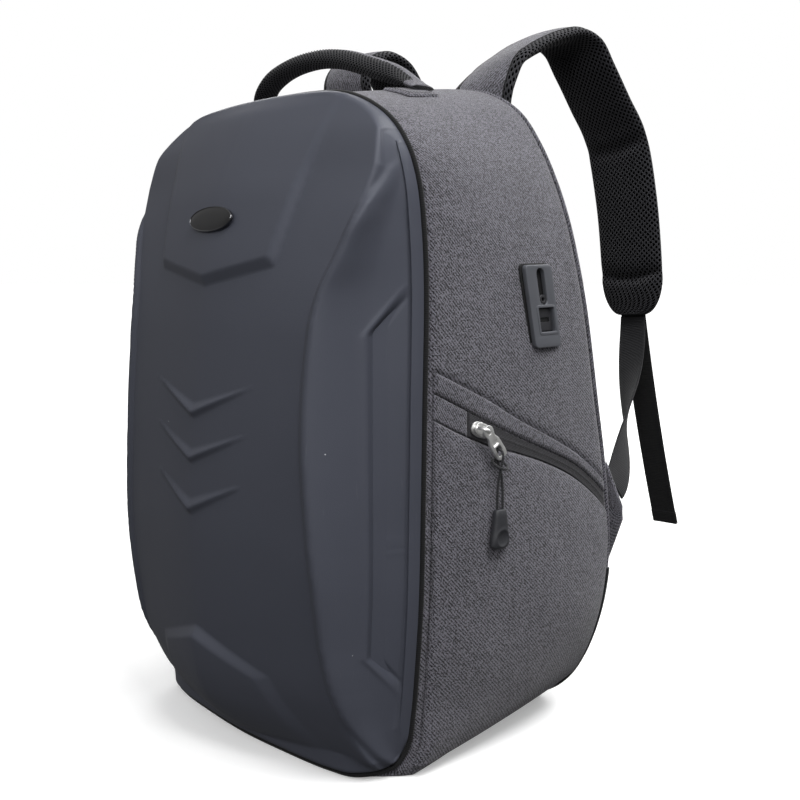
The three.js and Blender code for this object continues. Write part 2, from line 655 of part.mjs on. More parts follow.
function zipPull() {
  const shape = roundedRectangle(PULL.length, PULL.width, PULL_EDGE.corner);
  shape.holes.push(boxPath(PULL.length / 2 - PULL_EDGE.margin - PULL.slot / 2, 0, PULL.slot, PULL.slot));
  const tab = extruded(shape, PULL.thickness, 2);
  tab.translate(PULL.length / 2 - PULL_EDGE.behind, 0, 0);
  return tab.applyMatrix4(pullFrame());
}

// Where the cord passes through the tab's slot, with the bag's own up and out directions.
function cordFrame() {
  const slotAlong = PULL.length - PULL_EDGE.behind - PULL_EDGE.margin - PULL.slot / 2;
  const slot = new THREE.Vector3(slotAlong, 0, PULL.thickness / 2).applyMatrix4(pullFrame());
  const out = new THREE.Vector3(1, 0, 0);
  const back = new THREE.Vector3(0, 1, 0);
  const up = new THREE.Vector3(0, 0, 1);
  return new THREE.Matrix4().makeBasis(back, up, out).setPosition(slot);
}

// Points of the cord loop: back, up and out from the slot.
const CORD_POINTS = [
  { back: -2.6, up: -CORD_FALL, out: 1 }, { back: -2.6, up: -24, out: 1.4 },
  { back: -2.4, up: -15, out: 2.6 }, { back: -1.8, up: -8, out: 4 },
  { back: -1, up: -2.6, out: 4.4 }, { back: -0.4, up: 0.5, out: 2.6 },
  { back: 0, up: 1.2, out: 0 }, { back: 0.4, up: 0.5, out: -2.4 },
  { back: 1, up: -2.6, out: -3.6 }, { back: 1.8, up: -8, out: -2.8 },
  { back: 2.4, up: -15, out: -0.6 }, { back: 2.6, up: -24, out: 0.6 },
  { back: 2.6, up: -CORD_FALL, out: 1 },
];

function pullCord() {
  const points = CORD_POINTS.map((p) => new THREE.Vector3(p.back, p.up, p.out));
  const path = new THREE.CatmullRomCurve3(points);
  const section = new THREE.Shape().absarc(0, 0, CORD_DIAMETER / 2, 0, 2 * Math.PI, false);
  const tube = new THREE.ExtrudeGeometry(section, {
    steps: 20, extrudePath: path, curveSegments: 4, bevelEnabled: false,
  });
  return tube.applyMatrix4(cordFrame());
}

function pullGrip() {
  const rows = [
    { down: 0, width: 0.85, depth: 0.7 }, { down: 0.12, width: 1, depth: 1 },
    { down: 0.6, width: 1.3, depth: 1 }, { down: 0.85, width: 1.5, depth: 0.9 },
    { down: 1, width: 1.1, depth: 0.6 },
  ];
  const top = -CORD_FALL - LAYER_GAP;
  const rings = rows.map((row) => {
    const x = (row.width * GRIP.topWidth) / 2;
    const z = (row.depth * GRIP.thickness) / 2;
    return steps(0, 2 * Math.PI, 12).slice(0, -1).map((turn) => {
      const angle = turn + Math.PI / 12;
      return new THREE.Vector3(x * Math.cos(angle), top - row.down * GRIP.length, GRIP.out + z * Math.sin(angle));
    });
  });
  return skin(rings).applyMatrix4(cordFrame());
}

// Flat band along a path of rows, each with its place, width, thickness and width direction.
function band(rows, sides) {
  return skin(rows.map((row) => {
    const across = row.across.clone().projectOnPlane(row.along).normalize();
    const up = new THREE.Vector3().crossVectors(row.along, across).normalize();
    const corner = Math.min(row.corner ?? 0, row.thickness * 0.45);
    const x = row.width / 2;
    const y = row.thickness / 2;
    const outline = sides === 4
      ? [[-x, y], [x, y], [x, -y], [-x, -y]]
      : [[-x + corner, y], [-x / 3, y], [x / 3, y], [x - corner, y], [x, y - corner],
        [x, corner - y], [x - corner, -y], [x / 3, -y], [-x / 3, -y], [corner - x, -y],
        [-x, corner - y], [-x, y - corner]];
    return outline.map(([a, b]) => row.at.clone().addScaledVector(across, a).addScaledVector(up, b));
  }));
}

function shoulderStrap(path, count) {
  const curve = new THREE.CatmullRomCurve3(path.map((p) => new THREE.Vector3(p.x, p.y, p.z)));
  const last = path.length - 1;
  return band(steps(0, 1, count).map((t) => {
    const before = Math.min(Math.floor(t * last), last - 1);
    const roll = THREE.MathUtils.lerp(path[before].roll, path[before + 1].roll, t * last - before);
    const root = THREE.MathUtils.smoothstep(t, 0, STRAP_ENDS.rootShare);
    const end = THREE.MathUtils.smoothstep(t, STRAP_ENDS.endShare, 1);
    return {
      at: curve.getPoint(t),
      along: curve.getTangent(t),
      across: new THREE.Vector3(1, 0, roll),
      width: THREE.MathUtils.lerp(STRAP.rootWidth, STRAP.width, root) - STRAP_ENDS.narrowing * end,
      thickness: THREE.MathUtils.lerp(STRAP.rootThickness, STRAP.thickness, root) - STRAP_ENDS.thinning * end,
      corner: STRAP.corner,
    };
  }));
}

// Webbing from the pad's end to the wing, turned over on the way so that it lies along the wing.
function webbing(path) {
  const end = path[path.length - 1];
  const upper = new THREE.Vector3(...WING_CORNERS.upper);
  const outer = new THREE.Vector3(...WING_CORNERS.outer);
  const lift = new THREE.Vector3(WEBBING_END_LIFT.x, WEBBING_END_LIFT.y, WEBBING_END_LIFT.z);
  const top = new THREE.Vector3(Math.abs(end.x), end.y, end.z - WEBBING.start);
  const low = upper.clone().lerp(outer, 0.5).add(lift);
  const leave = top.clone().add(new THREE.Vector3(0, 0, -WEBBING.leave));
  const arrive = low.clone().add(new THREE.Vector3(...WEBBING.arrive));
  const curve = new THREE.CubicBezierCurve3(top, leave, arrive, low);
  const frameAt = (t) => {
    const along = curve.getTangentAt(t);
    const across = new THREE.Vector3(1, 0, 0).projectOnPlane(along).normalize();
    return { along, across, up: new THREE.Vector3().crossVectors(along, across) };
  };
  const wing = upper.clone().sub(outer);
  const last = frameAt(1);
  const fullTurn = Math.atan2(wing.dot(last.up), wing.dot(last.across));
  const ribbon = band(steps(0, 1, 16).map((t) => {
    const { along, across } = frameAt(t);
    across.applyAxisAngle(along, fullTurn * THREE.MathUtils.smoothstep(t, 0.1, 1));
    return { at: curve.getPointAt(t), along, across, width: WEBBING.width, thickness: WEBBING.thickness };
  }), 4);
  return end.x > 0 ? ribbon : mirrored(ribbon);
}

function buckleY(path) {
  return path[path.length - 1].y + STRAP.thickness / 2 + LAYER_GAP;
}

// Plain adjuster behind the pad's end, with two slots round a middle bar.
function strapBuckle(path) {
  const end = path[path.length - 1];
  const shape = roundedRectangle(BUCKLE.width, BUCKLE.height, BUCKLE.corner);
  const offset = (BUCKLE.slot + BUCKLE.bar) / 2;
  for (const y of [-offset, offset]) {
    shape.holes.push(boxPath(0, y, BUCKLE.width - 2 * BUCKLE.frame, BUCKLE.slot));
  }
  const frame = extruded(shape, BUCKLE.thickness, 2);
  frame.rotateX(Math.PI / 2);
  const x = end.x - Math.sign(end.x) * BUCKLE.inset;
  return frame.translate(x, buckleY(path) + BUCKLE.thickness, end.z + BUCKLE.rise);
}

function webbingTail(path) {
  const end = path[path.length - 1];
  const side = Math.sign(end.x);
  const y = buckleY(path) + BUCKLE.thickness / 2;
  const z = end.z + BUCKLE.rise - BUCKLE.height / 2 - TAIL.start;
  const curve = new THREE.QuadraticBezierCurve3(
    new THREE.Vector3(end.x - side * TAIL.topInset, y, z),
    new THREE.Vector3(end.x, y + TAIL.bow * TAIL.swing, z - TAIL.drop / 2),
    new THREE.Vector3(end.x + side * TAIL.lowOffset, y + TAIL.swing, z - TAIL.drop),
  );
  const across = new THREE.Vector3(1, 0, 0);
  return band(steps(0, 1, 6).map((t) => ({
    at: curve.getPointAt(t), along: curve.getTangentAt(t), across, width: WEBBING.width,
    thickness: WEBBING.thickness,
  })), 4);
}

// Sewn wing behind the lower back edge that takes the webbing.
function anchorTab() {
  const outline = Object.values(WING_CORNERS).map((corner) => new THREE.Vector3(...corner));
  const half = new THREE.Vector3(0, WING_THICKNESS / 2, 0);
  return skin([outline.map((p) => p.clone().sub(half)), outline.map((p) => p.clone().add(half))]);
}

// Row of the top wall at a distance from the middle of the bag.
function topRowAt(x, s) {
  let low = 0;
  let high = TOP_CORNER_ROW;
  for (let i = 0; i < 30; i += 1) {
    const middle = (low + high) / 2;
    if (wallPoint(middle, s).x < x) low = middle;
    else high = middle;
  }
  return low;
}

function carryHandle() {
  const curve = new THREE.CatmullRomCurve3(HANDLE_PATH.map((p) => new THREE.Vector3(p.x, p.y, p.z)));
  const lean = new THREE.Vector3(0, HANDLE_LEAN.y, HANDLE_LEAN.z).normalize();
  return skin(steps(0, 1, 20).map((t) => {
    const along = curve.getTangentAt(t);
    const full = THREE.MathUtils.smoothstep(Math.min(t, 1 - t), 0, 0.2);
    const across = new THREE.Vector3(0, 1, 0).lerp(lean, full).projectOnPlane(along).normalize();
    const up = new THREE.Vector3().crossVectors(along, across);
    const x = THREE.MathUtils.lerp(HANDLE.endWidth, HANDLE.width, full) / 2;
    const y = THREE.MathUtils.lerp(HANDLE.endThickness, HANDLE.thickness, full) / 2;
    return steps(0, 2 * Math.PI, 12).slice(0, -1).map((turn) => {
      const angle = turn + Math.PI / 12;
      return curve.getPointAt(t)
        .addScaledVector(across, x * Math.cos(angle))
        .addScaledVector(up, y * Math.sin(angle));
    });
  }));
}

// Flat sewn patch under each end of the handle.
function handleTab() {
  const depthShare = HANDLE_TAB.depth / (2 * TOP_WALL_RUN);
  const half = HANDLE_TAB.width / 2;
  const rows = [HANDLE_TAB.x - half, HANDLE_TAB.x, HANDLE_TAB.x + half].map((x) => topRowAt(x, HANDLE_TAB.s));
  const shares = steps(HANDLE_TAB.s - depthShare, HANDLE_TAB.s + depthShare, 3);
  const grid = (lift) => rows.map((row) => shares.map((s) => wallPoint(row, s, lift)));
  return sheet(grid(LAYER_GAP + HANDLE_TAB.thickness), grid(LAYER_GAP));
}

// Finishes, by what the real piece is made of
const FINISHES = {
  moulded_shell: { color: 0x3a3d46, roughness: 0.55, metalness: 0 },
  gloss_black: { color: 0x0c0c0e, roughness: 0.12, metalness: 0 },
  black_trim: { color: 0x17171a, roughness: 0.8, metalness: 0 },
  grey_fabric: { color: 0x55555c, roughness: 0.92, metalness: 0 },
  black_mesh: { color: 0x1b1b1e, roughness: 0.95, metalness: 0 },
  zip_black: { color: 0x141416, roughness: 0.7, metalness: 0 },
  silver_metal: { color: 0xb9bbbe, roughness: 0.28, metalness: 1 },
  grip_rubber: { color: 0x222327, roughness: 0.6, metalness: 0 },
  port_plastic: { color: 0x55585e, roughness: 0.5, metalness: 0 },
  port_dark: { color: 0x2b2c30, roughness: 0.45, metalness: 0 },
  grey_webbing: { color: 0x3b3b40, roughness: 0.9, metalness: 0 },
  black_webbing: { color: 0x1c1c1f, roughness: 0.9, metalness: 0 },
  buckle_plastic: { color: 0x19191b, roughness: 0.5, metalness: 0 },
};

const backpack = new THREE.Group();

function addPiece(name, geometry, finish) {
  const mesh = new THREE.Mesh(geometry, new THREE.MeshStandardMaterial(FINISHES[finish]));
  mesh.name = name;
  backpack.add(mesh);
}

function addPair(name, geometry, finish) {
  addPiece(`${name}_right`, geometry, finish);
  addPiece(`${name}_left`, mirrored(geometry), finish);
}

const baseStart = GUSSET_END_ROW + GUSSET_TO_BASE_ROWS;
addPiece('front_shell', frontShell(), 'moulded_shell');
addPiece('badge', badge(), 'gloss_black');
addPiece('shell_piping', piping(seamAt, SHELL_PIPING_RADIUS, 6, 60), 'black_trim');
addPiece('gusset', fabricWall(-GUSSET_END_ROW, GUSSET_END_ROW, 40), 'grey_fabric');
addPiece('bottom_panel', fabricWall(baseStart, 2 * LAST_ROW - baseStart, 14), 'grey_fabric');
addPiece('back_panel', backPanel(), 'black_mesh');
addPiece('back_piping', piping(backAt, BACK_PIPING_RADIUS, 6, 56), 'black_trim');

addPair('pocket_panel', pocketPanel(), 'grey_fabric');
addPair('pocket_band', pocketBand(), 'grey_fabric');
addPair('zip_patch', zipPatch(), 'grey_fabric');
addPair('zip_tape', zipTape(), 'zip_black');
addPair('zip_slider', zipSlider(), 'silver_metal');
addPair('zip_pull', zipPull(), 'silver_metal');
addPair('pull_cord', pullCord(), 'black_trim');
addPair('pull_grip', pullGrip(), 'grip_rubber');

addPiece('port_plate', portPlate(), 'port_plastic');
addPiece('port_button', portButton(), 'port_dark');
addPiece('port_insert', portInsert(), 'port_dark');

addPiece('carry_handle', carryHandle(), 'black_mesh');
addPair('handle_tab', handleTab(), 'grey_fabric');
for (const [side, path] of [['right', RIGHT_STRAP_PATH], ['left', LEFT_STRAP_PATH]]) {
  addPiece(`shoulder_strap_${side}`, shoulderStrap(path, 22), 'black_mesh');
  addPiece(`strap_buckle_${side}`, strapBuckle(path), 'buckle_plastic');
  addPiece(`strap_webbing_${side}`, webbing(path), 'grey_webbing');
  addPiece(`webbing_tail_${side}`, webbingTail(path), 'black_webbing');
}
addPair('anchor_tab', anchorTab(), 'grey_fabric');

export default backpack;
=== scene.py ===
import math
import bmesh
import bpy
import numpy as np
from mathutils import Matrix, Vector


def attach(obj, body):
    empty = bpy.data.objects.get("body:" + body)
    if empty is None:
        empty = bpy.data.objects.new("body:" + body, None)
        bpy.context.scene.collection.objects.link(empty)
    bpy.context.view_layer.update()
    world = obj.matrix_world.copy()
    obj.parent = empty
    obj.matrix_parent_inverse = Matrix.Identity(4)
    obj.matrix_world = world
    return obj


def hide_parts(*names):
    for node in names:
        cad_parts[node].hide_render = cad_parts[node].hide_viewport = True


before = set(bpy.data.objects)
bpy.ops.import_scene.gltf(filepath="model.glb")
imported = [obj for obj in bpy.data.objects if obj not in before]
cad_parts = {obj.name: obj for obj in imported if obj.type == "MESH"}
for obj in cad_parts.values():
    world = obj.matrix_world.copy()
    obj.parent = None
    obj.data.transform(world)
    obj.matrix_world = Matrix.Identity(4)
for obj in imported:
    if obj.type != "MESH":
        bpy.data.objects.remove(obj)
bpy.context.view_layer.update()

# The room: a pale floor that the bag stands on, a white surround brighter overhead, and panels of light.
# The camera looks at the right front edge of the bag from a little above the middle of its height.
WHITE = (1.0, 1.0, 1.0, 1.0)
CAMERA_LENS, CAMERA_SENSOR = 50.4, 36.0
CAMERA_PLACE = (
    (0.65982, -0.08351, 0.74677, 0.67697),
    (0.75142, 0.07043, -0.65605, -0.48414),
    (0.00220, 0.99401, 0.10922, 0.33691),
    (0.0, 0.0, 0.0, 1.0),
)
FLOOR_REACH = 40.0
FLOOR_NEAR, FLOOR_FAR, FLOOR_NEAR_GLOW, FLOOR_FAR_GLOW = 0.4, 3.0, 0.3, 0.95
SKY_LOW, SKY_HIGH, SKY_LOW_LIGHT, SKY_HIGH_LIGHT = -0.6, 0.8, 0.10, 0.50
LIGHT_TARGET = Vector((0.0, 0.06, 0.26))
LIGHT_PANELS = {
    "front_panel": ((-0.9, -1.9, 1.9), 1.2, 5.0),
    "side_panel": ((0.9, -0.05, 1.45), 0.7, 18.0),
    "fill_panel": ((1.35, -1.35, 1.25), 1.0, 17.0),
    "back_panel_light": ((0.2, 1.9, 1.7), 1.3, 34.0),
    "left_panel": ((-1.5, 1.1, 1.2), 1.1, 13.0),
}


def added(name, data):
    """A new object in the scene that holds some data."""
    piece = bpy.data.objects.new(name, data)
    bpy.context.collection.objects.link(piece)
    return piece


def node(material, kind, inputs, outlet=0, **settings):
    """Adds one shader node, with its settings and its inputs as numbers or links, and gives its outlet."""
    made = material.node_tree.nodes.new(kind)
    for name, value in settings.items():
        setattr(made, name, value)
    for key, value in inputs.items():
        if isinstance(value, bpy.types.NodeSocket):
            material.node_tree.links.new(value, made.inputs[key])
        else:
            made.inputs[key].default_value = value
    return made.outputs[outlet]


def calc(material, operation, first, second=0.0, third=0.0):
    return node(material, "ShaderNodeMath", {0: first, 1: second, 2: third}, operation=operation)


def on_vector(material, operation, vector, second=(0.0, 0.0, 0.0)):
    inputs = {0: vector, 3 if operation == "SCALE" else 1: second}
    outlet = 1 if operation == "LENGTH" else 0
    return node(material, "ShaderNodeVectorMath", inputs, outlet, operation=operation)


def ranged(material, value, low, high, to_low, to_high):
    """A value that runs from low to high, made to run from to_low to to_high."""
    return node(material, "ShaderNodeMapRange", {0: value, 1: low, 2: high, 3: to_low, 4: to_high})


def object_place(finish):
    return node(finish, "ShaderNodeTexCoord", {}, outlet=3)


def shader_inputs(finish):
    return finish.node_tree.nodes["Principled BSDF"].inputs


def new_finish(name, roughness, specular=0.5, sheen=0.0, metallic=0.0):
    """An empty finish with its constants set on the shader, ready for its colour and relief."""
    finish = bpy.data.materials.new(name)
    finish.use_nodes = True
    inputs = shader_inputs(finish)
    inputs["Roughness"].default_value = roughness
    inputs["Specular IOR Level"].default_value = specular
    inputs["Sheen Weight"].default_value = sheen
    inputs["Metallic"].default_value = metallic
    return finish


def into_shader(finish, inlet, outlet):
    finish.node_tree.links.new(outlet, shader_inputs(finish)[inlet])


def relief(finish, height, depth, strength=1.0):
    """Turns a height from 0 to 1 into bump of a real depth in metres."""
    bump = node(finish, "ShaderNodeBump", {"Height": height, "Distance": depth, "Strength": strength})
    into_shader(finish, "Normal", bump)


def between(finish, share, low, high):
    """Colour that runs from low, which may be a link, to high with a share."""
    start = low if isinstance(low, bpy.types.NodeSocket) else (*low, 1.0)
    inputs = {0: share, 6: start, 7: (*high, 1.0)}
    return node(finish, "ShaderNodeMix", inputs, outlet=2, data_type="RGBA")


def coloured(finish, share, low, high):
    into_shader(finish, "Base Color", between(finish, share, low, high))


def grain(finish, scale, detail=3.0, place=None):
    """Noise over the piece, with scale in bumps a metre."""
    inputs = {"Vector": place or object_place(finish), "Scale": scale, "Detail": detail, "Roughness": 0.55}
    return node(finish, "ShaderNodeTexNoise", inputs)


camera = added("camera", bpy.data.cameras.new("camera"))
camera.data.sensor_width = CAMERA_SENSOR
camera.data.lens = CAMERA_LENS
camera.matrix_world = Matrix(CAMERA_PLACE)
bpy.context.scene.camera = camera
bpy.context.scene.view_settings.view_transform = "Standard"

floor_mesh = bpy.data.meshes.new("floor")
floor_corners = [(FLOOR_REACH * x, FLOOR_REACH * y, 0.0) for x, y in ((-1, -1), (1, -1), (1, 1), (-1, 1))]
floor_mesh.from_pydata(floor_corners, [], [(0, 1, 2, 3)])
floor = added("floor", floor_mesh)
floor_finish = new_finish("pale_floor", 0.9, specular=0.2)
coloured(floor_finish, grain(floor_finish, 3.0), (0.82, 0.82, 0.82), (0.86, 0.86, 0.86))
far_off = on_vector(floor_finish, "LENGTH", object_place(floor_finish))
floor_glow = ranged(floor_finish, far_off, FLOOR_NEAR, FLOOR_FAR, FLOOR_NEAR_GLOW, FLOOR_FAR_GLOW)
into_shader(floor_finish, "Emission Strength", floor_glow)
shader_inputs(floor_finish)["Emission Color"].default_value = WHITE
floor_mesh.materials.append(floor_finish)
floor.visible_diffuse = False
floor.visible_glossy = False

surround = bpy.data.worlds.new("white_surround")
surround.use_nodes = True
lighting = surround.node_tree.nodes["Background"]
lighting.inputs["Color"].default_value = WHITE
overhead = node(surround, "ShaderNodeSeparateXYZ", {0: node(surround, "ShaderNodeTexCoord", {})}, outlet=2)
sky_light = ranged(surround, overhead, SKY_LOW, SKY_HIGH, SKY_LOW_LIGHT, SKY_HIGH_LIGHT)
surround.node_tree.links.new(sky_light, lighting.inputs["Strength"])
backdrop = node(surround, "ShaderNodeBackground", {"Color": WHITE})
camera_ray = node(surround, "ShaderNodeLightPath", {}, outlet="Is Camera Ray")
mixed = node(surround, "ShaderNodeMixShader", {0: camera_ray, 1: lighting.outputs[0], 2: backdrop})
surround.node_tree.links.new(mixed, surround.node_tree.nodes["World Output"].inputs["Surface"])
bpy.context.scene.world = surround
for name, (place, size, power) in LIGHT_PANELS.items():
    panel = added(name, bpy.data.lights.new(name, "AREA"))
    panel.data.size = size
    panel.data.energy = power
    aim = (LIGHT_TARGET - Vector(place)).to_track_quat("-Z", "Y")
    panel.matrix_world = Matrix.Translation(place) @ aim.to_matrix().to_4x4()

# Pull cords with their grips: a loop of round black braid, hitched through each zip's pull tab.
# Both ends of the loop run into a moulded rubber grip, which hangs under its own weight.
MM = 0.001
CORD_DIAMETER = 1.9
CORD_SLOT = (166.27, 52.929, 221.353)
CORD_FALL = 38.5
CORD_POINTS = [
    (-2.6, -38.5, 1.0), (-2.6, -24.0, 1.4), (-2.4, -15.0, 2.6), (-1.8, -8.0, 4.0), (-1.0, -2.6, 4.4),
    (-0.4, 0.5, 2.6), (0.0, 1.2, 0.0), (0.4, 0.5, -2.4), (1.0, -2.6, -3.6), (1.8, -8.0, -2.8),
    (2.4, -15.0, -0.6), (2.6, -24.0, 0.6), (2.6, -38.5, 1.0),
]
CORD_OUT = 1.0
GRIP_LENGTH, GRIP_WIDTH, GRIP_DEPTH, GRIP_GAP = 27.0, 11.0, 7.0, 0.3
GRIP_ROWS = np.array([
    (0.0, 0.70, 0.50), (0.015, 0.84, 0.72), (0.06, 0.92, 0.86), (0.14, 0.98, 0.98), (0.30, 1.08, 1.0),
    (0.48, 1.20, 1.0), (0.64, 1.34, 1.0), (0.78, 1.46, 0.98), (0.88, 1.48, 0.9), (0.945, 1.36, 0.78),
    (0.98, 1.12, 0.62), (1.0, 0.72, 0.36),
])
DIMPLE_HALF_WIDTH, DIMPLE_HALF_HEIGHT, DIMPLE_DOWN, DIMPLE_DEPTH = 5.2, 5.6, 19.4, 1.5
DIMPLE_LIP, DIMPLE_LIP_AT, DIMPLE_LIP_WIDTH, GRIP_FACE_SHARE = 0.55, 1.08, 0.16, 0.55
HITCH_MIDDLE = (0.0, -8.6, 0.5)
HITCH_REACH = (4.6, -2.6, 5.6)
SIDES = {"right": 1, "left": -1}


def smooth_line(points, closed=False):
    """Smooth curve through points, asked for by point number."""
    points = np.asarray(points, float)
    count = len(points)
    if closed:
        padded = np.vstack([points[-1:], points, points[:2]])
    else:
        padded = np.vstack([2 * points[:1] - points[1:2], points, 2 * points[-1:] - points[-2:-1]])

    def at(number):
        number = np.asarray(number, float)
        number = np.mod(number, count) if closed else np.clip(number, 0, count - 1)
        first = np.clip(np.floor(number).astype(int), 0, count - (1 if closed else 2))
        share = (number - first)[..., None]
        a, b, c, d = (padded[first + step] for step in range(4))
        before, here, after = (
            np.maximum(np.sum((q - p) ** 2, -1, keepdims=True) ** 0.25, 1e-4)
            for p, q in ((a, b), (b, c), (c, d))
        )
        leave = ((b - a) / before - (c - a) / (before + here) + (c - b) / here) * here
        arrive = ((c - b) / here - (d - b) / (here + after) + (d - c) / after) * here
        cubic = 2 * (b - c) + leave + arrive
        return b + share * (leave + share * (3 * (c - b) - 2 * leave - arrive + share * cubic))

    at.last = count - 1
    return at


def drawn(points, count):
    """A number of places along the smooth line through points, evenly by point number."""
    line = smooth_line(points)
    return line(np.linspace(0, line.last, count))


def lengths_along(points):
    """Length from the first of a row of points to each of them."""
    return np.concatenate([[0.0], np.cumsum(np.linalg.norm(np.diff(points, axis=0), axis=1))])


def unit(v):
    return v / np.maximum(np.linalg.norm(v, axis=-1, keepdims=True), 1e-9)


def full_turn(count):
    return np.linspace(0, 2 * np.pi, count + 1)[:-1]


def ring_solid(name, rings, finishes, uv=None, loop=False, strips=None, sharp=math.radians(50)):
    """Closed solid through rings of points in mm, with a weave map in metres and a finish for each strip."""
    rings = np.asarray(rings, float)
    rows, cols = rings.shape[:2]
    if uv is None:
        uv = np.zeros((rows + 1, cols + 1, 2))
    spans = rows if loop else rows - 1
    i, j = np.meshgrid(np.arange(spans), np.arange(cols), indexing="ij")
    below, beside = (i + 1) % rows, (j + 1) % cols
    faces = [i * cols + j, i * cols + beside, below * cols + beside, below * cols + j]
    faces = np.stack(faces, -1).reshape(-1, 4)
    corners = np.stack([uv[i, j], uv[i, j + 1], uv[i + 1, j + 1], uv[i + 1, j]], -2).reshape(-1, 4, 2)
    kinds = np.broadcast_to(0 if strips is None else strips, (spans, cols)).reshape(-1)
    if not loop:
        c = np.arange(cols // 2 - 1)
        low = np.stack([cols - 1 - c, cols - 2 - c, c + 1, c], -1)
        faces = np.vstack([faces, low, low[:, ::-1] + (rows - 1) * cols])
        corners = np.concatenate([corners, uv[0][low], uv[rows - 1][low[:, ::-1]]])
        kinds = np.concatenate([kinds, np.zeros(2 * len(c), int)])
    points = rings.reshape(-1, 3) * MM
    a, b, c, d = (points[faces[:, k]] for k in range(4))
    if np.sum(a * np.cross(b, c)) + np.sum(a * np.cross(c, d)) < 0:
        faces, corners = faces[:, ::-1], corners[:, ::-1]
    mesh = bpy.data.meshes.new(name)
    mesh.from_pydata(points, [], faces)
    mesh.uv_layers.new(name="weave").data.foreach_set("uv", corners.reshape(-1))
    for finish in finishes:
        mesh.materials.append(finish)
    mesh.polygons.foreach_set("material_index", kinds.astype(np.int32))
    mesh.shade_smooth()
    mesh.set_sharp_from_angle(angle=sharp)
    mesh.validate()
    return added(name, mesh)


def settle(piece, slot, *nodes):
    """Fixes a finished piece to the bag in place of its plain solids."""
    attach(piece, "root")
    if nodes:
        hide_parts(*nodes)
    return piece


def waves(finish, place, scale, distortion, direction):
    """Bands across one direction of a piece, as yarns lie in it."""
    inputs = {"Vector": place, "Scale": scale, "Distortion": distortion, "Detail": 1.0}
    return node(finish, "ShaderNodeTexWave", inputs, outlet=1, bands_direction=direction)


def hung(points, sign):
    """Points across, up and out from the tab's slot, set in the bag's frame on one side."""
    across, up, out = np.moveaxis(points, -1, 0)
    return np.array(CORD_SLOT) * (sign, 1, 1) + np.stack([sign * out, across, up], -1)


def squarer(turn, power):
    """A sine or cosine bent so that the round it draws is squarer."""
    return np.sign(turn) * np.abs(turn) ** power


def hump(value, middle, width):
    """Smooth hump from 0 to 1 and back round a middle value."""
    return np.exp(-((value - middle) / width) ** 2)


braid_finish = new_finish("black_braid", 0.75, specular=0.3, sheen=0.15)
braid_place = object_place(braid_finish)
braid_twist = []
for turn in (0.7, -0.7):
    turned = node(braid_finish, "ShaderNodeMapping", {"Vector": braid_place, "Rotation": (turn, 0.0, 0.0)})
    braid_twist.append(waves(braid_finish, turned, 260.0, 0.6, "Z"))
braid_height = calc(braid_finish, "MAXIMUM", *braid_twist)
coloured(braid_finish, braid_height, (0.004, 0.004, 0.005), (0.022, 0.022, 0.025))
relief(braid_finish, braid_height, 0.0003)

rubber_finish = new_finish("grip_rubber", 0.5, specular=0.45)
rubber_dust = grain(rubber_finish, 900.0, 4.0)
coloured(rubber_finish, rubber_dust, (0.016, 0.0165, 0.019), (0.036, 0.037, 0.043))
relief(rubber_finish, rubber_dust, 0.00006)

grip_down, grip_width, grip_depth = (drawn(GRIP_ROWS[:, k:k + 1], 56) for k in range(3))
grip_turn = full_turn(48)
grip_x = squarer(np.cos(grip_turn), 0.8) * grip_width * GRIP_WIDTH / 2
grip_out = squarer(np.sin(grip_turn), 0.7) * grip_depth * GRIP_DEPTH / 2
grip_fall = np.broadcast_to(-grip_down * GRIP_LENGTH, grip_x.shape)
dimple = np.hypot(grip_x / DIMPLE_HALF_WIDTH, (grip_fall + DIMPLE_DOWN) / DIMPLE_HALF_HEIGHT)
dimple_lip = DIMPLE_LIP * hump(dimple, DIMPLE_LIP_AT, DIMPLE_LIP_WIDTH)
dish = dimple_lip - DIMPLE_DEPTH * np.clip(1 - dimple ** 2, 0, 1)
on_face = np.abs(grip_out) > GRIP_FACE_SHARE * GRIP_DEPTH / 2
grip_out = grip_out + np.where(grip_out > 0, dish, -dish) * on_face
grip_points = np.stack([grip_x, grip_fall - CORD_FALL - GRIP_GAP, grip_out + CORD_OUT], -1)

hitch_turn = full_turn(40)
hitch_circle = np.stack([np.cos(hitch_turn), np.sin(hitch_turn), np.sin(hitch_turn)], -1)
hitch_line = np.array(HITCH_MIDDLE) + HITCH_REACH * hitch_circle
hitch_out = unit(hitch_line - HITCH_MIDDLE)
hitch_side = unit(np.cross(hitch_out, np.roll(hitch_line, -1, 0) - np.roll(hitch_line, 1, 0)))
hitch_round = full_turn(12)[None, :, None]
hitch_rings = hitch_out[:, None] * np.cos(hitch_round) + hitch_side[:, None] * np.sin(hitch_round)
hitch_rings = hitch_line[:, None] + CORD_DIAMETER / 2 * hitch_rings

for side, sign in SIDES.items():
    route = hung(drawn(CORD_POINTS, 61), sign) * MM
    curve = bpy.data.curves.new(f"pull_cord_{side}_braid", "CURVE")
    curve.dimensions = "3D"
    curve.bevel_depth = CORD_DIAMETER / 2 * MM
    curve.bevel_resolution = 4
    curve.use_fill_caps = True
    spline = curve.splines.new("POLY")
    spline.points.add(len(route) - 1)
    for knot, place in zip(spline.points, route):
        knot.co = (*place, 1.0)
    spline.use_smooth = True
    curve.materials.append(braid_finish)
    cord = added(f"pull_cord_{side}_braid", curve)
    settle(cord, "black_trim", f"pull_cord_{side}")
    grip_name = f"pull_grip_{side}_rubber"
    grip = ring_solid(grip_name, hung(grip_points, sign), [rubber_finish], sharp=math.radians(70))
    settle(grip, "grip_rubber", f"pull_grip_{side}")
    hitch = ring_solid(f"cord_hitch_{side}", hung(hitch_rings, sign), [braid_finish], loop=True)
    settle(hitch, "black_trim")

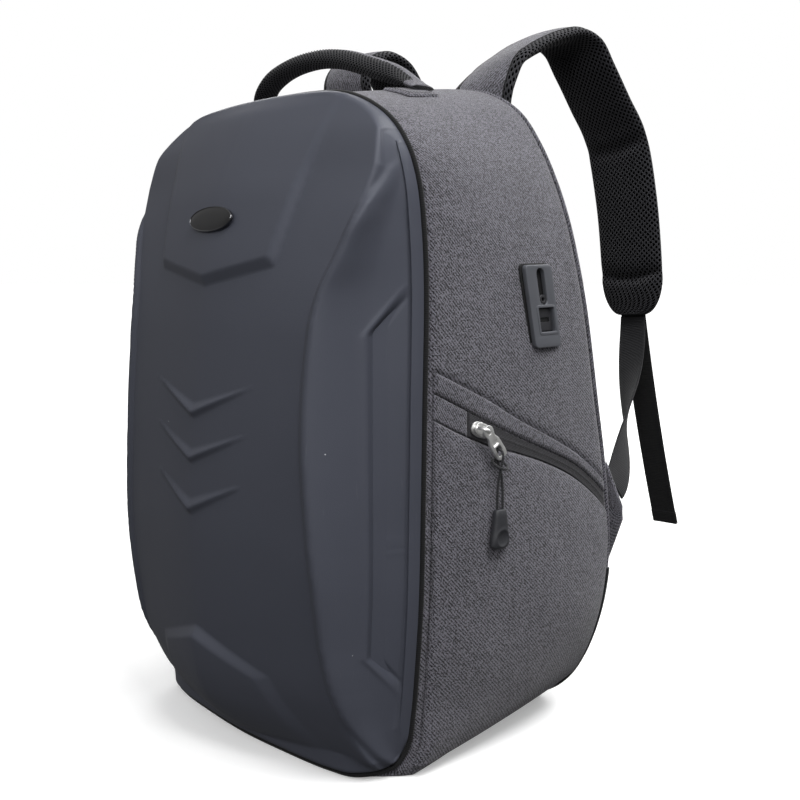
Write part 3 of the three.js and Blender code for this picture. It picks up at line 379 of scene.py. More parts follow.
# Front shell: one panel of moulded foam skinned in a soft dark film, pressed hot into its relief.
# Its rolled rim is sewn into the seam round the bag, with the piping between it and the fabric.
OUTLINE_FRONT = [
    (0, -13, 462), (50, -13, 461), (85, -12.5, 457.5), (112, -12, 448), (131, -10, 435), (144, -8, 417),
    (149.5, -5, 396), (151, -2, 366), (151, 0, 330), (150, 0, 250), (149, 0, 190), (147.5, 0, 125),
    (144, 0, 80), (140, 0, 45), (136.5, -2, 22), (130, -9, 8), (116, -28, 3.4), (92, -35.5, 2.7),
    (48, -40.5, 2.7), (0, -43, 2.7),
]
LAST_ROW = len(OUTLINE_FRONT) - 1
TOP_CORNER_ROW, LOW_CORNER_ROW = 5, 14
LOWEST_SEAM, SEAM_GAP, SHELL_PIPING_RADIUS = 2.7, 0.45, 1.7
FOLD_X, FOLD_DEPTH, MIDDLE_DEPTH = 1, 2, 3
SHELL_SECTIONS = np.array([
    (3, 133, 17, 44), (18, 129, 30, 57), (39, 125, 43, 69), (62, 123, 53, 76.5), (96, 120, 60.5, 81),
    (134, 119, 65.5, 83.5), (171, 116, 68, 84), (235, 111, 68, 80.5), (298, 112, 63, 74), (326, 116, 58, 70),
    (349, 125, 51.5, 65.5), (377, 135, 43, 58), (403, 141, 34, 51), (430, 141, 27, 42), (448, 141, 18, 33),
    (458, 141, 15, 24),
])
SHELL_RIM, SHELL_RIM_DEPTH, SHELL_FOOT_DEPTH, SHELL_WALL, RIM_MIDDLE_Z = 5.0, 9.0, 4.0, 3.0, 230.0
SHELL_COLS, SHELL_ROWS, INNER_STEP = 236, 352, 4
FLANK_AT, FLANK_RUN, FLANK_CROWDING, END_CROWDING = 0.70, 0.06, 1.4, 0.012
FACE_CURVE, FOLD_OFF_RIM, FOLD_RISE, FOLD_RISE_RUN = 1.35, 8, 1.0, 0.3
FOLD_SOFTNESS, FOLD_TOP, FOLD_FOOT, FOLD_RUN, FOLD_RIM, FOLD_RIM_RUN = 0.15, 365, 55, 25, 3, 4
ARC_HEIGHTS = (10, 29, 47, 69, 363, 382, 403, 414)
ARC_BEYOND_FOLD = (9.0, 7.5, 4.0, 2.0, 2.0, 3.0, 8.6, 16.6)
ARC_RISE, ARC_EDGE, ARC_SHORTEST_FALL = 4.8, 6.5, 6
ARC_TOP, ARC_TOP_RUN, ARC_FOOT, ARC_FOOT_RUN, ARC_FOOT_SHARE = 414, 44, 30, 60, 0.45
TOP_TIP, TOP_SLOPE, TOP_HALF, TOP_FLARE, TOP_CORNER, TOP_SQUARE = 330, 13 / 72, 72, 0.23, 343, 0.97
TOP_RISE, TOP_EDGE, TOP_FADE, TOP_FADE_FROM, TOP_FADE_RUN = 4.2, 7.0, 0.8, 385, 55
LOW_TIP, LOW_SLOPE, LOW_HALF, LOW_FLARE, LOW_SQUARE = 91, 22 / 68, 69, 0.55, 0.91
LOW_RISE, LOW_CROWN, LOW_CROWN_HALF, LOW_EDGE, LOW_SIDE_EDGE = 2.9, 2.5, 60, 7.0, 12.5
LOW_FOOT, LOW_FOOT_RUN = 4, 42
CHEVRONS = [(62.5, 264.5, 249.0, 239.0), (61.0, 233.0, 217.0, 207.5), (56.5, 198.5, 182.0, 171.5)]
CHEVRON_RISE, CHEVRON_UPPER, CHEVRON_THINNEST = 3.4, 0.66, 0.6
RECESS_TOP, RECESS_TOP_DEPTH, RECESS_TOP_SLOPE = 301, 33.6, 1.36
RECESS_FOOT, RECESS_FOOT_DEPTH, RECESS_FOOT_SLOPE = 87, 32.0, 1.11
RECESS_FRONT, RECESS_EDGE, RECESS_SUNK, RECESS_BACK, RECESS_BACK_RUN = 34.0, 6.0, 4.6, 9.5, 19
GROOVE_SUNK, GROOVE_AT, GROOVE_WIDTH = 3.4, 1.15, 0.34
RECESS_BEAD, RECESS_BEAD_AT, RECESS_BEAD_WIDTH = 0.9, -0.3, 0.4
RIM_BEAD, RIM_BEAD_AT, RIM_BEAD_WIDTH, RIM_BEAD_FOOT, RIM_BEAD_RUN = 0.9, 6.4, 2.0, 24, 40
PUCKERS, PUCKER_RISE, PUCKER_WIDTH, PUCKER_SLOPE = (158.0, 163.5, 167.0), 0.28, 1.0, 0.03
PUCKER_MIDDLE_X, PUCKER_X, PUCKER_X_RUN = 130, 136, 4
FOOT_CLEARANCE, FOOT_RUN, FOOT_SHARE = 0.4, 4, 0.1


def outline_loop(half):
    """Closed loop round the bag from the points of its right half, counted in rows from the top."""
    right = np.asarray(half, float)
    left = right[1:-1][::-1] * (-1, 1, 1)
    line = smooth_line(np.vstack([right, left]), closed=True)

    def at(row):
        points = line(row)
        points[..., 2] = np.maximum(points[..., 2], LOWEST_SEAM)
        return points

    return at


def table_value(table, column, key):
    """Smooth value of one column of a table, whose first column is the key."""
    keys, values = table[:, 0], table[:, column]
    key = np.clip(key, keys[0], keys[-1])
    i = np.clip(np.searchsorted(keys, key, side="left") - 1, 0, len(keys) - 2)
    number = np.arange(len(keys))
    ahead, behind = np.minimum(number + 1, len(keys) - 1), np.maximum(number - 1, 0)
    slope = (values[ahead] - values[behind]) / (keys[ahead] - keys[behind])
    width = keys[i + 1] - keys[i]
    t = (key - keys[i]) / width
    bend = width * t * (1 - t) * ((1 - t) * slope[i] - t * slope[i + 1])
    return values[i] + (values[i + 1] - values[i]) * (3 - 2 * t) * t * t + bend


def eased(x):
    x = np.clip(x, 0, 1)
    return x * x * (3 - 2 * x)


def round_edge(distance, radius):
    """Share of the full thickness at a distance from a rounded edge."""
    return np.sqrt(1 - (1 - np.clip(distance / radius, 0, 1)) ** 2)


seam_at = outline_loop(OUTLINE_FRONT)


def across_seam(row):
    """Direction across the shell's seam, from the shell towards the fabric."""
    along = unit(seam_at(row + 0.05) - seam_at(row - 0.05))
    return unit(np.array([0.0, 1.0, 0.0]) - along * along[..., 1:2])


def softened(values, *reaches):
    """Moving averages along each row of a grid, one after another."""
    for reach in reaches:
        wide = 2 * reach + 1
        sums = np.cumsum(np.pad(values, ((0, 0), (reach, reach)), mode="edge"), axis=1)
        sums = np.pad(sums, ((0, 0), (1, 0)))
        values = (sums[:, wide:] - sums[:, :-wide]) / wide
    return values


def square_to(grid):
    """Directions out of the front, square to a grid of points and softened a little."""
    square = unit(np.cross(np.gradient(grid, axis=1), np.gradient(grid, axis=0)))
    square = np.where(square[..., 1:2] > 0.2, -square, square)
    return unit(np.stack([softened(square[..., axis], 3, 3) for axis in range(3)], -1))


def arc_relief(plain, beyond, z):
    """Step along the arc, which rises to a crest a set length past the fold and falls away to the rim."""
    run = np.hypot(np.diff(plain[..., 0], axis=1), np.diff(plain[..., 1], axis=1))
    length = np.concatenate([np.zeros((len(run), 1)), np.cumsum(run, 1)], 1)
    length = np.abs(length - length[:, SHELL_COLS // 2][:, None])
    after, here = np.argmax((beyond > 0) & (share > 0), axis=1), np.arange(len(beyond))
    part = beyond[here, after] / (beyond[here, after] - beyond[here, after - 1])
    fold = length[here, after] - part * (length[here, after] - length[here, after - 1])
    crest = fold[:, None] + np.interp(z, ARC_HEIGHTS, ARC_BEYOND_FOLD)
    to_crest = crest - length
    fall = np.maximum(0.5 * (length[:, -1:] - crest), ARC_SHORTEST_FALL)
    step = np.where(to_crest >= 0, eased(1 - to_crest / ARC_EDGE), 1 - eased(-to_crest / fall))
    foot = ARC_FOOT_SHARE + (1 - ARC_FOOT_SHARE) * eased((z - ARC_FOOT) / ARC_FOOT_RUN)
    return ARC_RISE * step * eased((ARC_TOP - z) / ARC_TOP_RUN) * foot


def panel_relief(x, z):
    """Raised top and lower panels, with sloped edges, fading out towards the rim."""
    tip = z - TOP_TIP - TOP_SLOPE * x
    side = (TOP_HALF + TOP_FLARE * (z - TOP_CORNER) - x) * TOP_SQUARE
    top = TOP_RISE * np.clip(np.minimum(tip, side) / TOP_EDGE, 0, 1)
    top = top * (1 - TOP_FADE * eased((z - TOP_FADE_FROM) / TOP_FADE_RUN))
    tip = LOW_TIP - LOW_SLOPE * x - z
    side = (LOW_HALF + LOW_FLARE * (LOW_HALF - z) - x) * LOW_SQUARE
    low = np.clip(np.minimum(tip / LOW_EDGE, side / LOW_SIDE_EDGE), 0, 1)
    low = low * (LOW_RISE + LOW_CROWN * np.clip(1 - x / LOW_CROWN_HALF, 0, 1))
    return top + low * eased((z - LOW_FOOT) / LOW_FOOT_RUN)


def chevron_relief(x, z):
    """Ridges that rise slowly from below, fall quickly above and run to a point on each side."""
    total = np.zeros_like(x)
    for tip_x, tip_z, upper_z, lower_z in CHEVRONS:
        along = np.clip(x / tip_x, 0, 1)
        upper = upper_z + (tip_z - upper_z) * along
        lower = lower_z + (tip_z - lower_z) * along
        into = (upper - z) / np.maximum(upper - lower, CHEVRON_THINNEST)
        ridge = np.clip(np.minimum(into / CHEVRON_UPPER, (1 - into) / (1 - CHEVRON_UPPER)), 0, 1)
        total += CHEVRON_RISE * ridge * (1 - along) ** 0.5 * (x < tip_x)
    return total


def recess_relief(depth, z, flank):
    """Sunk field on each flank, with a groove inside its edge and a soft bead outside it."""
    top = RECESS_TOP + (RECESS_TOP_DEPTH - depth) * RECESS_TOP_SLOPE
    foot = RECESS_FOOT - (RECESS_FOOT_DEPTH - depth) * RECESS_FOOT_SLOPE
    into = np.minimum(RECESS_FRONT - depth, np.minimum(top - z, z - foot)) / RECESS_EDGE
    sunk = RECESS_SUNK * np.clip(into, 0, 1) + GROOVE_SUNK * hump(into, GROOVE_AT, GROOVE_WIDTH)
    sunk = sunk - RECESS_BEAD * hump(into, RECESS_BEAD_AT, RECESS_BEAD_WIDTH)
    return sunk * np.clip((depth - RECESS_BACK) / RECESS_BACK_RUN, 0, 1) * (flank > 0)


def edge_relief(x, z, to_rim):
    """Bead along the rim, and the small puckers that the seam pulls beside it."""
    bead = RIM_BEAD * hump(to_rim, RIM_BEAD_AT, RIM_BEAD_WIDTH) * eased((z - RIM_BEAD_FOOT) / RIM_BEAD_RUN)
    level = z - PUCKER_SLOPE * (x - PUCKER_MIDDLE_X)
    puckers = sum(PUCKER_RISE * hump(level, at, PUCKER_WIDTH) for at in PUCKERS)
    return bead + puckers * eased((x - PUCKER_X) / PUCKER_X_RUN)


spread = np.linspace(0, 1, 2001)
crowding = np.cumsum(1 + FLANK_CROWDING * eased((spread - FLANK_AT) / FLANK_RUN))
crowding = (crowding - crowding[0]) / (crowding[-1] - crowding[0])
share = np.linspace(-1, 1, SHELL_COLS + 1)[None, :]
share = np.sign(share) * np.interp(np.abs(share), crowding, spread)
rise = np.linspace(0, 1, SHELL_ROWS + 1)[:, None]
rise = rise - END_CROWDING * np.sin(2 * np.pi * rise)
half, up = np.abs(share), rise[..., None]
top_row = TOP_CORNER_ROW * half
base_row = LAST_ROW - (LAST_ROW - LOW_CORNER_ROW) * half
side_row = LOW_CORNER_ROW + (TOP_CORNER_ROW - LOW_CORNER_ROW) * rise
side_seam = seam_at(side_row)
corner = seam_at(LOW_CORNER_ROW) * (1 - up) + seam_at(TOP_CORNER_ROW) * up
patch = seam_at(base_row) * (1 - up) + seam_at(top_row) * up + (side_seam - corner) * half[..., None]
edge_x, height = side_seam[..., 0], seam_at(0.0)[2]
x, y, z = np.moveaxis(patch, -1, 0)
fold_x = np.minimum(table_value(SHELL_SECTIONS, FOLD_X, z), edge_x - FOLD_OFF_RIM)
fold_depth, middle = (table_value(SHELL_SECTIONS, column, z) for column in (FOLD_DEPTH, MIDDLE_DEPTH))
rim_depth = SHELL_FOOT_DEPTH + (SHELL_RIM_DEPTH - SHELL_FOOT_DEPTH) * np.clip(rise / FOOT_SHARE, 0, 1) - y
face = middle + (fold_depth - middle) * np.minimum(x / fold_x, 1) ** FACE_CURVE
flank = np.clip((x - fold_x) / (edge_x - SHELL_RIM - fold_x), 0, 1)
full = np.maximum(face + (rim_depth - face) * flank, rim_depth)
to_rim = (1 - half) * edge_x
rounding = round_edge(np.minimum(np.minimum(to_rim, (1 - rise) * height), rise * height), SHELL_RIM)
lip = SHELL_PIPING_RADIUS + SEAM_GAP - y
depth = lip + (full - lip) * rounding
fold_ends = eased((z - FOLD_TOP) / FOLD_RUN) + eased((FOLD_FOOT - z) / FOLD_RUN)
fold_rounding = FOLD_SOFTNESS + (1 - FOLD_SOFTNESS) * fold_ends
depth += (softened(depth, 4, 3) - depth) * fold_rounding * eased((to_rim - FOLD_RIM) / FOLD_RIM_RUN)
plain = np.stack([np.sign(share) * x, -depth, z], -1)
square = square_to(plain)
lift = FOLD_RISE * (1 - np.clip(flank / FOLD_RISE_RUN, 0, 1)) + arc_relief(plain, x - fold_x, z)
lift += panel_relief(x, z) + chevron_relief(x, z) - recess_relief(depth, z, flank) + edge_relief(x, z, to_rim)
outer = plain + square * (lift * rounding)[..., None]
foot_run = FOOT_RUN * SHELL_RIM / height
foot_lift = (FOOT_CLEARANCE + SHELL_PIPING_RADIUS) * np.clip(1 - rise / foot_run, 0, 1)
outer[..., 2] += foot_lift
edge_row = np.where(rise == 1, top_row, np.where(rise == 0, base_row, side_row))
on_edge = ((half == 1) | (rise == 0) | (rise == 1))[..., None]
sewn = seam_at(edge_row) - across_seam(edge_row) * (SHELL_PIPING_RADIUS + SEAM_GAP)
sewn[..., 0] *= np.where(share < 0, -1, 1)
sewn[..., 2] += foot_lift
outer = np.where(on_edge, sewn, outer)
inner = plain - square * SHELL_WALL
inner[..., 2] += foot_lift
tucked = outer + unit((np.array([0.0, 0.0, RIM_MIDDLE_Z]) - outer) * (1, 0, 1)) * SHELL_WALL
inner = np.where(on_edge, tucked, inner)[::INNER_STEP, ::INNER_STEP]


def grid_faces(rows, cols, start=0):
    i, j = np.meshgrid(np.arange(rows - 1), np.arange(cols - 1), indexing="ij")
    first = start + i * cols + j
    return np.stack([first, first + 1, first + cols + 1, first + cols], -1).reshape(-1, 4)


def grid_border(rows, cols, start=0):
    number = start + np.arange(rows * cols).reshape(rows, cols)
    return np.concatenate([number[0, :-1], number[:-1, -1], number[-1, :0:-1], number[:0:-1, 0]]).tolist()


fine, coarse = outer.shape[:2], inner.shape[:2]
offset = fine[0] * fine[1]
outer_border, inner_border = grid_border(*fine), grid_border(*coarse, offset)
shell_faces = grid_faces(*fine).tolist() + grid_faces(*coarse, offset)[:, ::-1].tolist()
for k, here in enumerate(inner_border):
    fine_run = [outer_border[(k * INNER_STEP + step) % len(outer_border)] for step in range(INNER_STEP + 1)]
    shell_faces.append(fine_run[::-1] + [here, inner_border[(k + 1) % len(inner_border)]])
shell_mesh = bpy.data.meshes.new("moulded_shell")
shell_points = np.vstack([outer.reshape(-1, 3), inner.reshape(-1, 3)]) * MM
shell_mesh.from_pydata(shell_points.tolist(), [], shell_faces)
shell_mesh.shade_smooth()
shell_mesh.set_sharp_from_angle(angle=math.radians(62))
shell_mesh.validate()

shell_finish = new_finish("soft_moulded_film", 0.47, specular=0.34)
shell_place = object_place(shell_finish)
cloudy = grain(shell_finish, 9.0, 4.0, shell_place)
dust = node(shell_finish, "ShaderNodeTexVoronoi", {"Vector": shell_place, "Scale": 130.0})
dust_shade = node(shell_finish, "ShaderNodeSeparateColor", {0: dust.node.outputs[1]})
picked = calc(shell_finish, "GREATER_THAN", dust_shade, 0.965)
speck = calc(shell_finish, "MULTIPLY", calc(shell_finish, "LESS_THAN", dust, 0.055), picked)
scuff_place = {"Vector": shell_place, "Rotation": (0.35, 0.2, 0.1), "Scale": (1.0, 1.0, 0.08)}
scuff_grain = grain(shell_finish, 420.0, 2.0, node(shell_finish, "ShaderNodeMapping", scuff_place))
scuff = ranged(shell_finish, scuff_grain, 0.70, 0.76, 0.0, 0.16)
film = between(shell_finish, cloudy, (0.0480, 0.0515, 0.0670), (0.0590, 0.0630, 0.0815))
film = between(shell_finish, scuff, film, (0.10, 0.105, 0.12))
coloured(shell_finish, speck, film, (0.45, 0.46, 0.48))
into_shader(shell_finish, "Roughness", ranged(shell_finish, cloudy, 0.3, 0.7, 0.44, 0.53))
shader_inputs(shell_finish)["Specular Tint"].default_value = (0.90, 0.93, 1.0, 1.0)
relief(shell_finish, grain(shell_finish, 1500.0, 2.0, shell_place), 0.00009)
shell_mesh.materials.append(shell_finish)
settle(added("moulded_shell", shell_mesh), "moulded_shell", "front_shell")

# Badge: a blank oval of black resin, domed and glossy, in a thin bright rim.
# It is glued flat on the raised top panel.
BADGE_Z, BADGE_HALF_WIDTH, BADGE_HALF_HEIGHT, BADGE_THICKNESS, BADGE_GAP = 375.5, 26.5, 9.2, 2.2, 0.3
BADGE_PROFILE = [
    (1.0, 0.0), (1.0, 0.62), (0.985, 0.80), (0.955, 0.90), (0.925, 0.86), (0.905, 0.70), (0.88, 0.72),
    (0.7, 0.86), (0.45, 0.96), (0.2, 1.0), (0.02, 1.0),
]
BADGE_RIM_STRIPS, BADGE_DOME_STRIPS, BADGE_SIDES = 5, 5, 96
shell_middle = outer[:, SHELL_COLS // 2]
badge_low, badge_here, badge_high = (
    shell_middle[np.argmin(np.abs(shell_middle[:, 2] - BADGE_Z - step))]
    for step in (-BADGE_HALF_HEIGHT, 0.0, BADGE_HALF_HEIGHT)
)
badge_up = unit(badge_high - badge_low)
badge_out = np.array([0.0, -badge_up[2], badge_up[1]])
badge_turn = (full_turn(BADGE_SIDES) + np.pi / 2 + np.pi / BADGE_SIDES)[:, None]
badge_rings = []
for size, thick_share in BADGE_PROFILE:
    half_width = (BADGE_HALF_WIDTH - BADGE_HALF_HEIGHT * (1 - size)) * min(1.0, 2 * size)
    oval = np.cos(badge_turn) * (half_width, 0, 0) + np.sin(badge_turn) * badge_up * BADGE_HALF_HEIGHT * size
    badge_rings.append(badge_here + badge_out * (BADGE_GAP + thick_share * BADGE_THICKNESS) + oval)
resin_finish = new_finish("black_resin", 0.12, specular=0.5)
coloured(resin_finish, grain(resin_finish, 60.0), (0.002, 0.002, 0.0025), (0.006, 0.006, 0.007))
rim_finish = new_finish("bright_rim", 0.22, metallic=1.0)
coloured(rim_finish, grain(rim_finish, 700.0), (0.10, 0.10, 0.105), (0.20, 0.20, 0.21))
badge_kinds = np.array([1] * BADGE_RIM_STRIPS + [0] * BADGE_DOME_STRIPS)[:, None]
badge = ring_solid("blank_badge", badge_rings, [resin_finish, rim_finish], strips=badge_kinds)
settle(badge, "gloss_black", "badge")

# Shell piping: a thin cord wrapped in black tape, caught in the seam all round the shell.
# It is swept along the seam, and its tape is ribbed across.
PIPING_SIDES = 14
PATH_NODES = {
    "line": ("GeometryNodeMeshToCurve", {}),
    "smooth": ("GeometryNodeSetShadeSmooth", {}),
    "realize": ("GeometryNodeRealizeInstances", {}),
    "paint": ("GeometryNodeSetMaterial", {}),
}
PATH_LINKS = (
    "given.Path > line.Mesh", "realize.Geometry > paint.Geometry",
    "given.Finish > paint.Material", "paint.Geometry > made.Geometry",
)
SWEEP_NODES = {
    "keep": ("GeometryNodeCaptureAttribute", {"capture": "Length"}),
    "keep_round": ("GeometryNodeCaptureAttribute", {"capture": "Round"}),
    "length": ("GeometryNodeSplineParameter", {}),
    "ring": ("GeometryNodeCurvePrimitiveCircle", {}),
    "sweep": ("GeometryNodeCurveToMesh", {"Fill Caps": True}),
    "vector": ("ShaderNodeCombineXYZ", {}),
    "store": ("GeometryNodeStoreNamedAttribute", {"data_type": "FLOAT_VECTOR", "Name": "weave"}),
}
SWEEP_LINKS = (
    "line.Curve > keep.Geometry", "length.Length > keep.Length", "given.Radius > ring.Radius",
    "given.Sides > ring.Resolution", "keep.Geometry > sweep.Curve", "ring.Curve > keep_round.Geometry",
    "length.Length > keep_round.Round", "keep_round.Geometry > sweep.Profile Curve", "keep.Length > vector.X",
    "keep_round.Round > vector.Y", "sweep.Mesh > store.Geometry", "vector.Vector > store.Value",
    "store.Geometry > smooth.Geometry", "smooth.Geometry > realize.Geometry",
)


def weave_of(finish):
    return node(finish, "ShaderNodeAttribute", {}, outlet=1, attribute_name="weave")


def path_tree(name, sizes, nodes, links):
    """Geometry nodes along a path, from tables of the sizes they take, their settings and their links."""
    tree = bpy.data.node_groups.new(name, "GeometryNodeTree")
    for inlet, kind in {"Path": "Geometry", **sizes, "Finish": "Material"}.items():
        tree.interface.new_socket(inlet, in_out="INPUT", socket_type=f"NodeSocket{kind}")
    tree.interface.new_socket("Geometry", in_out="OUTPUT", socket_type="NodeSocketGeometry")
    placed = {"given": tree.nodes.new("NodeGroupInput"), "made": tree.nodes.new("NodeGroupOutput")}
    for label, (kind, settings) in {**PATH_NODES, **nodes}.items():
        placed[label] = tree.nodes.new(kind)
        for key, value in settings.items():
            if key == "capture":
                placed[label].capture_items.new("FLOAT", value)
            elif key in placed[label].inputs:
                placed[label].inputs[key].default_value = value
            else:
                setattr(placed[label], key, value)
    for link in PATH_LINKS + links:
        (start, outlet), (end, inlet) = (socket.split(".") for socket in link.split(" > "))
        tree.links.new(placed[start].outputs[outlet], placed[end].inputs[inlet])
    return tree


def plain_mesh(piece):
    """The mesh that a piece's curve or modifier makes."""
    depsgraph = bpy.context.evaluated_depsgraph_get()
    return bpy.data.meshes.new_from_object(piece.evaluated_get(depsgraph), depsgraph=depsgraph)


def grown(name, paths, tree, outs=None, closed=False, **sizes):
    """Plain mesh that a node tree makes along paths of points in mm."""
    edges, start = [], 0
    for path in paths:
        run = list(range(start, start + len(path)))
        edges += zip(run, run[1:] + run[:1] if closed else run[1:])
        start += len(path)
    mesh = bpy.data.meshes.new(f"{name}_path")
    mesh.from_pydata((np.vstack(paths) * MM).tolist(), edges, [])
    if outs is not None:
        directions = np.vstack(outs).astype(np.float32).reshape(-1)
        mesh.attributes.new("out", "FLOAT_VECTOR", "POINT").data.foreach_set("vector", directions)
    piece = added(name, mesh)
    modifier = piece.modifiers.new("grown", "NODES")
    modifier.node_group = tree
    for item in tree.interface.items_tree:
        if item.in_out == "INPUT" and item.name in sizes:
            modifier[item.identifier] = sizes[item.name]
    result = plain_mesh(piece)
    piece.modifiers.remove(modifier)
    piece.data = result
    result.name = name
    return piece


tape_finish = new_finish("black_tape", 0.8, specular=0.25, sheen=0.1)
tape_ribs = waves(tape_finish, weave_of(tape_finish), 220.0, 0.4, "X")
coloured(tape_finish, tape_ribs, (0.0022, 0.0022, 0.0026), (0.0085, 0.0085, 0.0095))
relief(tape_finish, tape_ribs, 0.00015)
sweep_tree = path_tree("swept_piping", {"Radius": "Float", "Sides": "Int"}, SWEEP_NODES, SWEEP_LINKS)
seam_rows = np.linspace(0, 2 * LAST_ROW, 561)[:-1]
shell_piping = grown("shell_piping_cord", [seam_at(seam_rows)], sweep_tree, closed=True,
                     Radius=SHELL_PIPING_RADIUS * MM, Sides=PIPING_SIDES, Finish=tape_finish)
settle(shell_piping, "black_trim", "shell_piping")

# Gusset: the grey twill wall round the top and both sides, lined with foam and sewn to the shell and back.
# It swells a little between its seams, dips where the pocket band is sewn on, and lies in slow ripples.
BACK_PIPING_RADIUS = 2.4
BACK_EDGE = [
    (0, 478), (50, 477), (89, 470), (116, 454), (132, 430), (143, 402), (149.5, 376), (153.5, 347),
    (156, 315), (156.5, 250), (156.5, 195), (157.5, 142), (154.5, 104), (147, 74), (135.5, 47),
    (121.5, 26), (104, 11), (84, 2.7), (46, 2.7), (0, 2.7),
]
BACK_TOP_Y, BACK_TOP_Z, BACK_SLOPE, BACK_REAR_Y = 118, 478, 0.207, 182.0
SWELL = [1, 1, 1, 2, 3, 4, 4, 4, 4, 4, 4, 4, 4, 3, 2, 1, 0, 0, 0, 0]
CORNER_FILL = [0] * 13 + [1.5, 6, 10, 0, 0, 0, 0]
UNDER = [0] * 15 + [0.5, 2.8, 2.7, 2.7, 2.7]
FILL_RUN = 0.06
FABRIC_WALL = 3.0
GUSSET_END_ROW = 15
GUSSET_COLS, GUSSET_CROWDING = 57, 0.6
GUSSET_RUNS = ((-15.0, -10.6, 80), (-10.6, -8.3, 160), (-8.3, 8.3, 150), (8.3, 10.6, 160), (10.6, 15.0, 80))
BAND_SEAM, ZIP_SEAM, POCKET_SEAM = 1, 2, 3
POCKET_SEAMS = np.array([
    (0.02, 276.5, 262.5, 245), (0.15, 267, 252.5, 234.5), (0.31, 255, 240, 223.5),
    (0.46, 241.5, 228.5, 216.5), (0.65, 226, 215, 205), (0.8, 212.5, 203, 192), (0.92, 197.5, 188, 176),
    (0.985, 187, 177, 164),
])
BAND_SWELL, BAND_DIP, BAND_SWELL_REACH, BAND_FIRST_ROW = 2.7, 2.0, 85, 6.5
SLOW_EASE, SLOW_EASE_LENGTH, QUICK_EASE, QUICK_EASE_LENGTH, EASE_HEM = 0.35, 120, 0.18, 46, 0.12
PULL_DEPTH, PULL_STEP, PULL_WANDER, PULL_REACH = 0.5, 17.0, 90, 0.035


def back_y(z):
    return np.minimum(BACK_REAR_Y, BACK_TOP_Y + (BACK_TOP_Z - z) * BACK_SLOPE)


back_at = outline_loop([(x, back_y(z), z) for x, z in BACK_EDGE])


def outward(loop, row):
    along = loop(row + 0.05) - loop(row - 0.05)
    return unit(np.stack([-along[..., 2], np.zeros_like(along[..., 0]), along[..., 0]], -1))


def row_value(values, row):
    return np.interp(np.minimum(np.abs(row), LAST_ROW), np.arange(LAST_ROW + 1), values)


def wall_point(row, s, lift=0.0):
    """Point on the fabric wall: row round the outline, s from the shell to the back edge."""
    row, s, lift = np.broadcast_arrays(*(np.asarray(value, float) for value in (row, s, lift)))
    mirrored = np.where(row > LAST_ROW, row - 2 * LAST_ROW, row)
    under = row_value(UNDER, mirrored)
    front = seam_at(row) + across_seam(row) * (SHELL_PIPING_RADIUS + SEAM_GAP + 0.25 * under)[..., None]
    back = back_at(row)
    front[..., 2] -= under
    back[..., 1] -= BACK_PIPING_RADIUS + SEAM_GAP
    back[..., 2] -= under
    ahead = s[..., None]
    out = unit(outward(seam_at, row) * (1 - ahead) + outward(back_at, row) * ahead)
    fill = row_value(CORNER_FILL, mirrored) * (1 - s) * np.sqrt(np.minimum(s / FILL_RUN, 1))
    swell = row_value(SWELL, mirrored) * np.sqrt(np.maximum(np.sin(np.pi * s), 0)) + fill
    point = front * (1 - ahead) + back * ahead
    point[..., 2] = np.maximum(point[..., 2], 0)
    room = np.where(out[..., 2] < 0, point[..., 2] / np.maximum(-out[..., 2], 1e-6), swell)
    return point + out * (np.minimum(swell, room) + lift)[..., None]


def cloth_lengths(grid):
    """Lengths along and across a grid of cloth, in mm."""
    along = np.linalg.norm(np.diff(grid, axis=0), axis=-1).mean(axis=1)
    across = np.linalg.norm(np.diff(grid, axis=1), axis=-1)
    v = np.concatenate([np.zeros((len(grid), 1)), np.cumsum(across, axis=1)], axis=1)
    u = np.broadcast_to(np.concatenate([[0.0], np.cumsum(along)])[:, None], v.shape)
    return u, v - v[:, v.shape[1] // 2, None]


def thick_cloth(name, outer, inner, finish):
    """Closed piece of cloth between an outer and an inner grid of points."""
    weave = np.stack(cloth_lengths(outer), -1) * MM
    rings = np.concatenate([outer, inner[:, ::-1]], axis=1)
    uv = np.concatenate([weave, weave[:, ::-1], weave[:, :1]], axis=1)
    return ring_solid(name, rings, [finish], np.concatenate([uv, uv[-1:]]))


def ripples(u, v, seed, length):
    """Slow uneven waves of about one unit, the same each time."""
    chance = np.random.default_rng(seed)
    total = np.zeros(np.broadcast(u, v).shape)
    for _ in range(9):
        angle = chance.uniform(0, np.pi)
        phase = chance.uniform(0, 2 * np.pi)
        stretch = chance.uniform(0.7, 1.9)
        along = u * np.cos(angle) + v * np.sin(angle)
        total = total + np.sin(along * 2 * np.pi / (length * stretch) + phase)
    return total / 3.0


def blend(finish, start, parts):
    """Sum of a start and of shader values, each times its weight."""
    for value, weight in parts:
        start = calc(finish, "MULTIPLY_ADD", value, weight, start)
    return start


def centred(finish, value):
    return calc(finish, "SUBTRACT", value, 0.5)


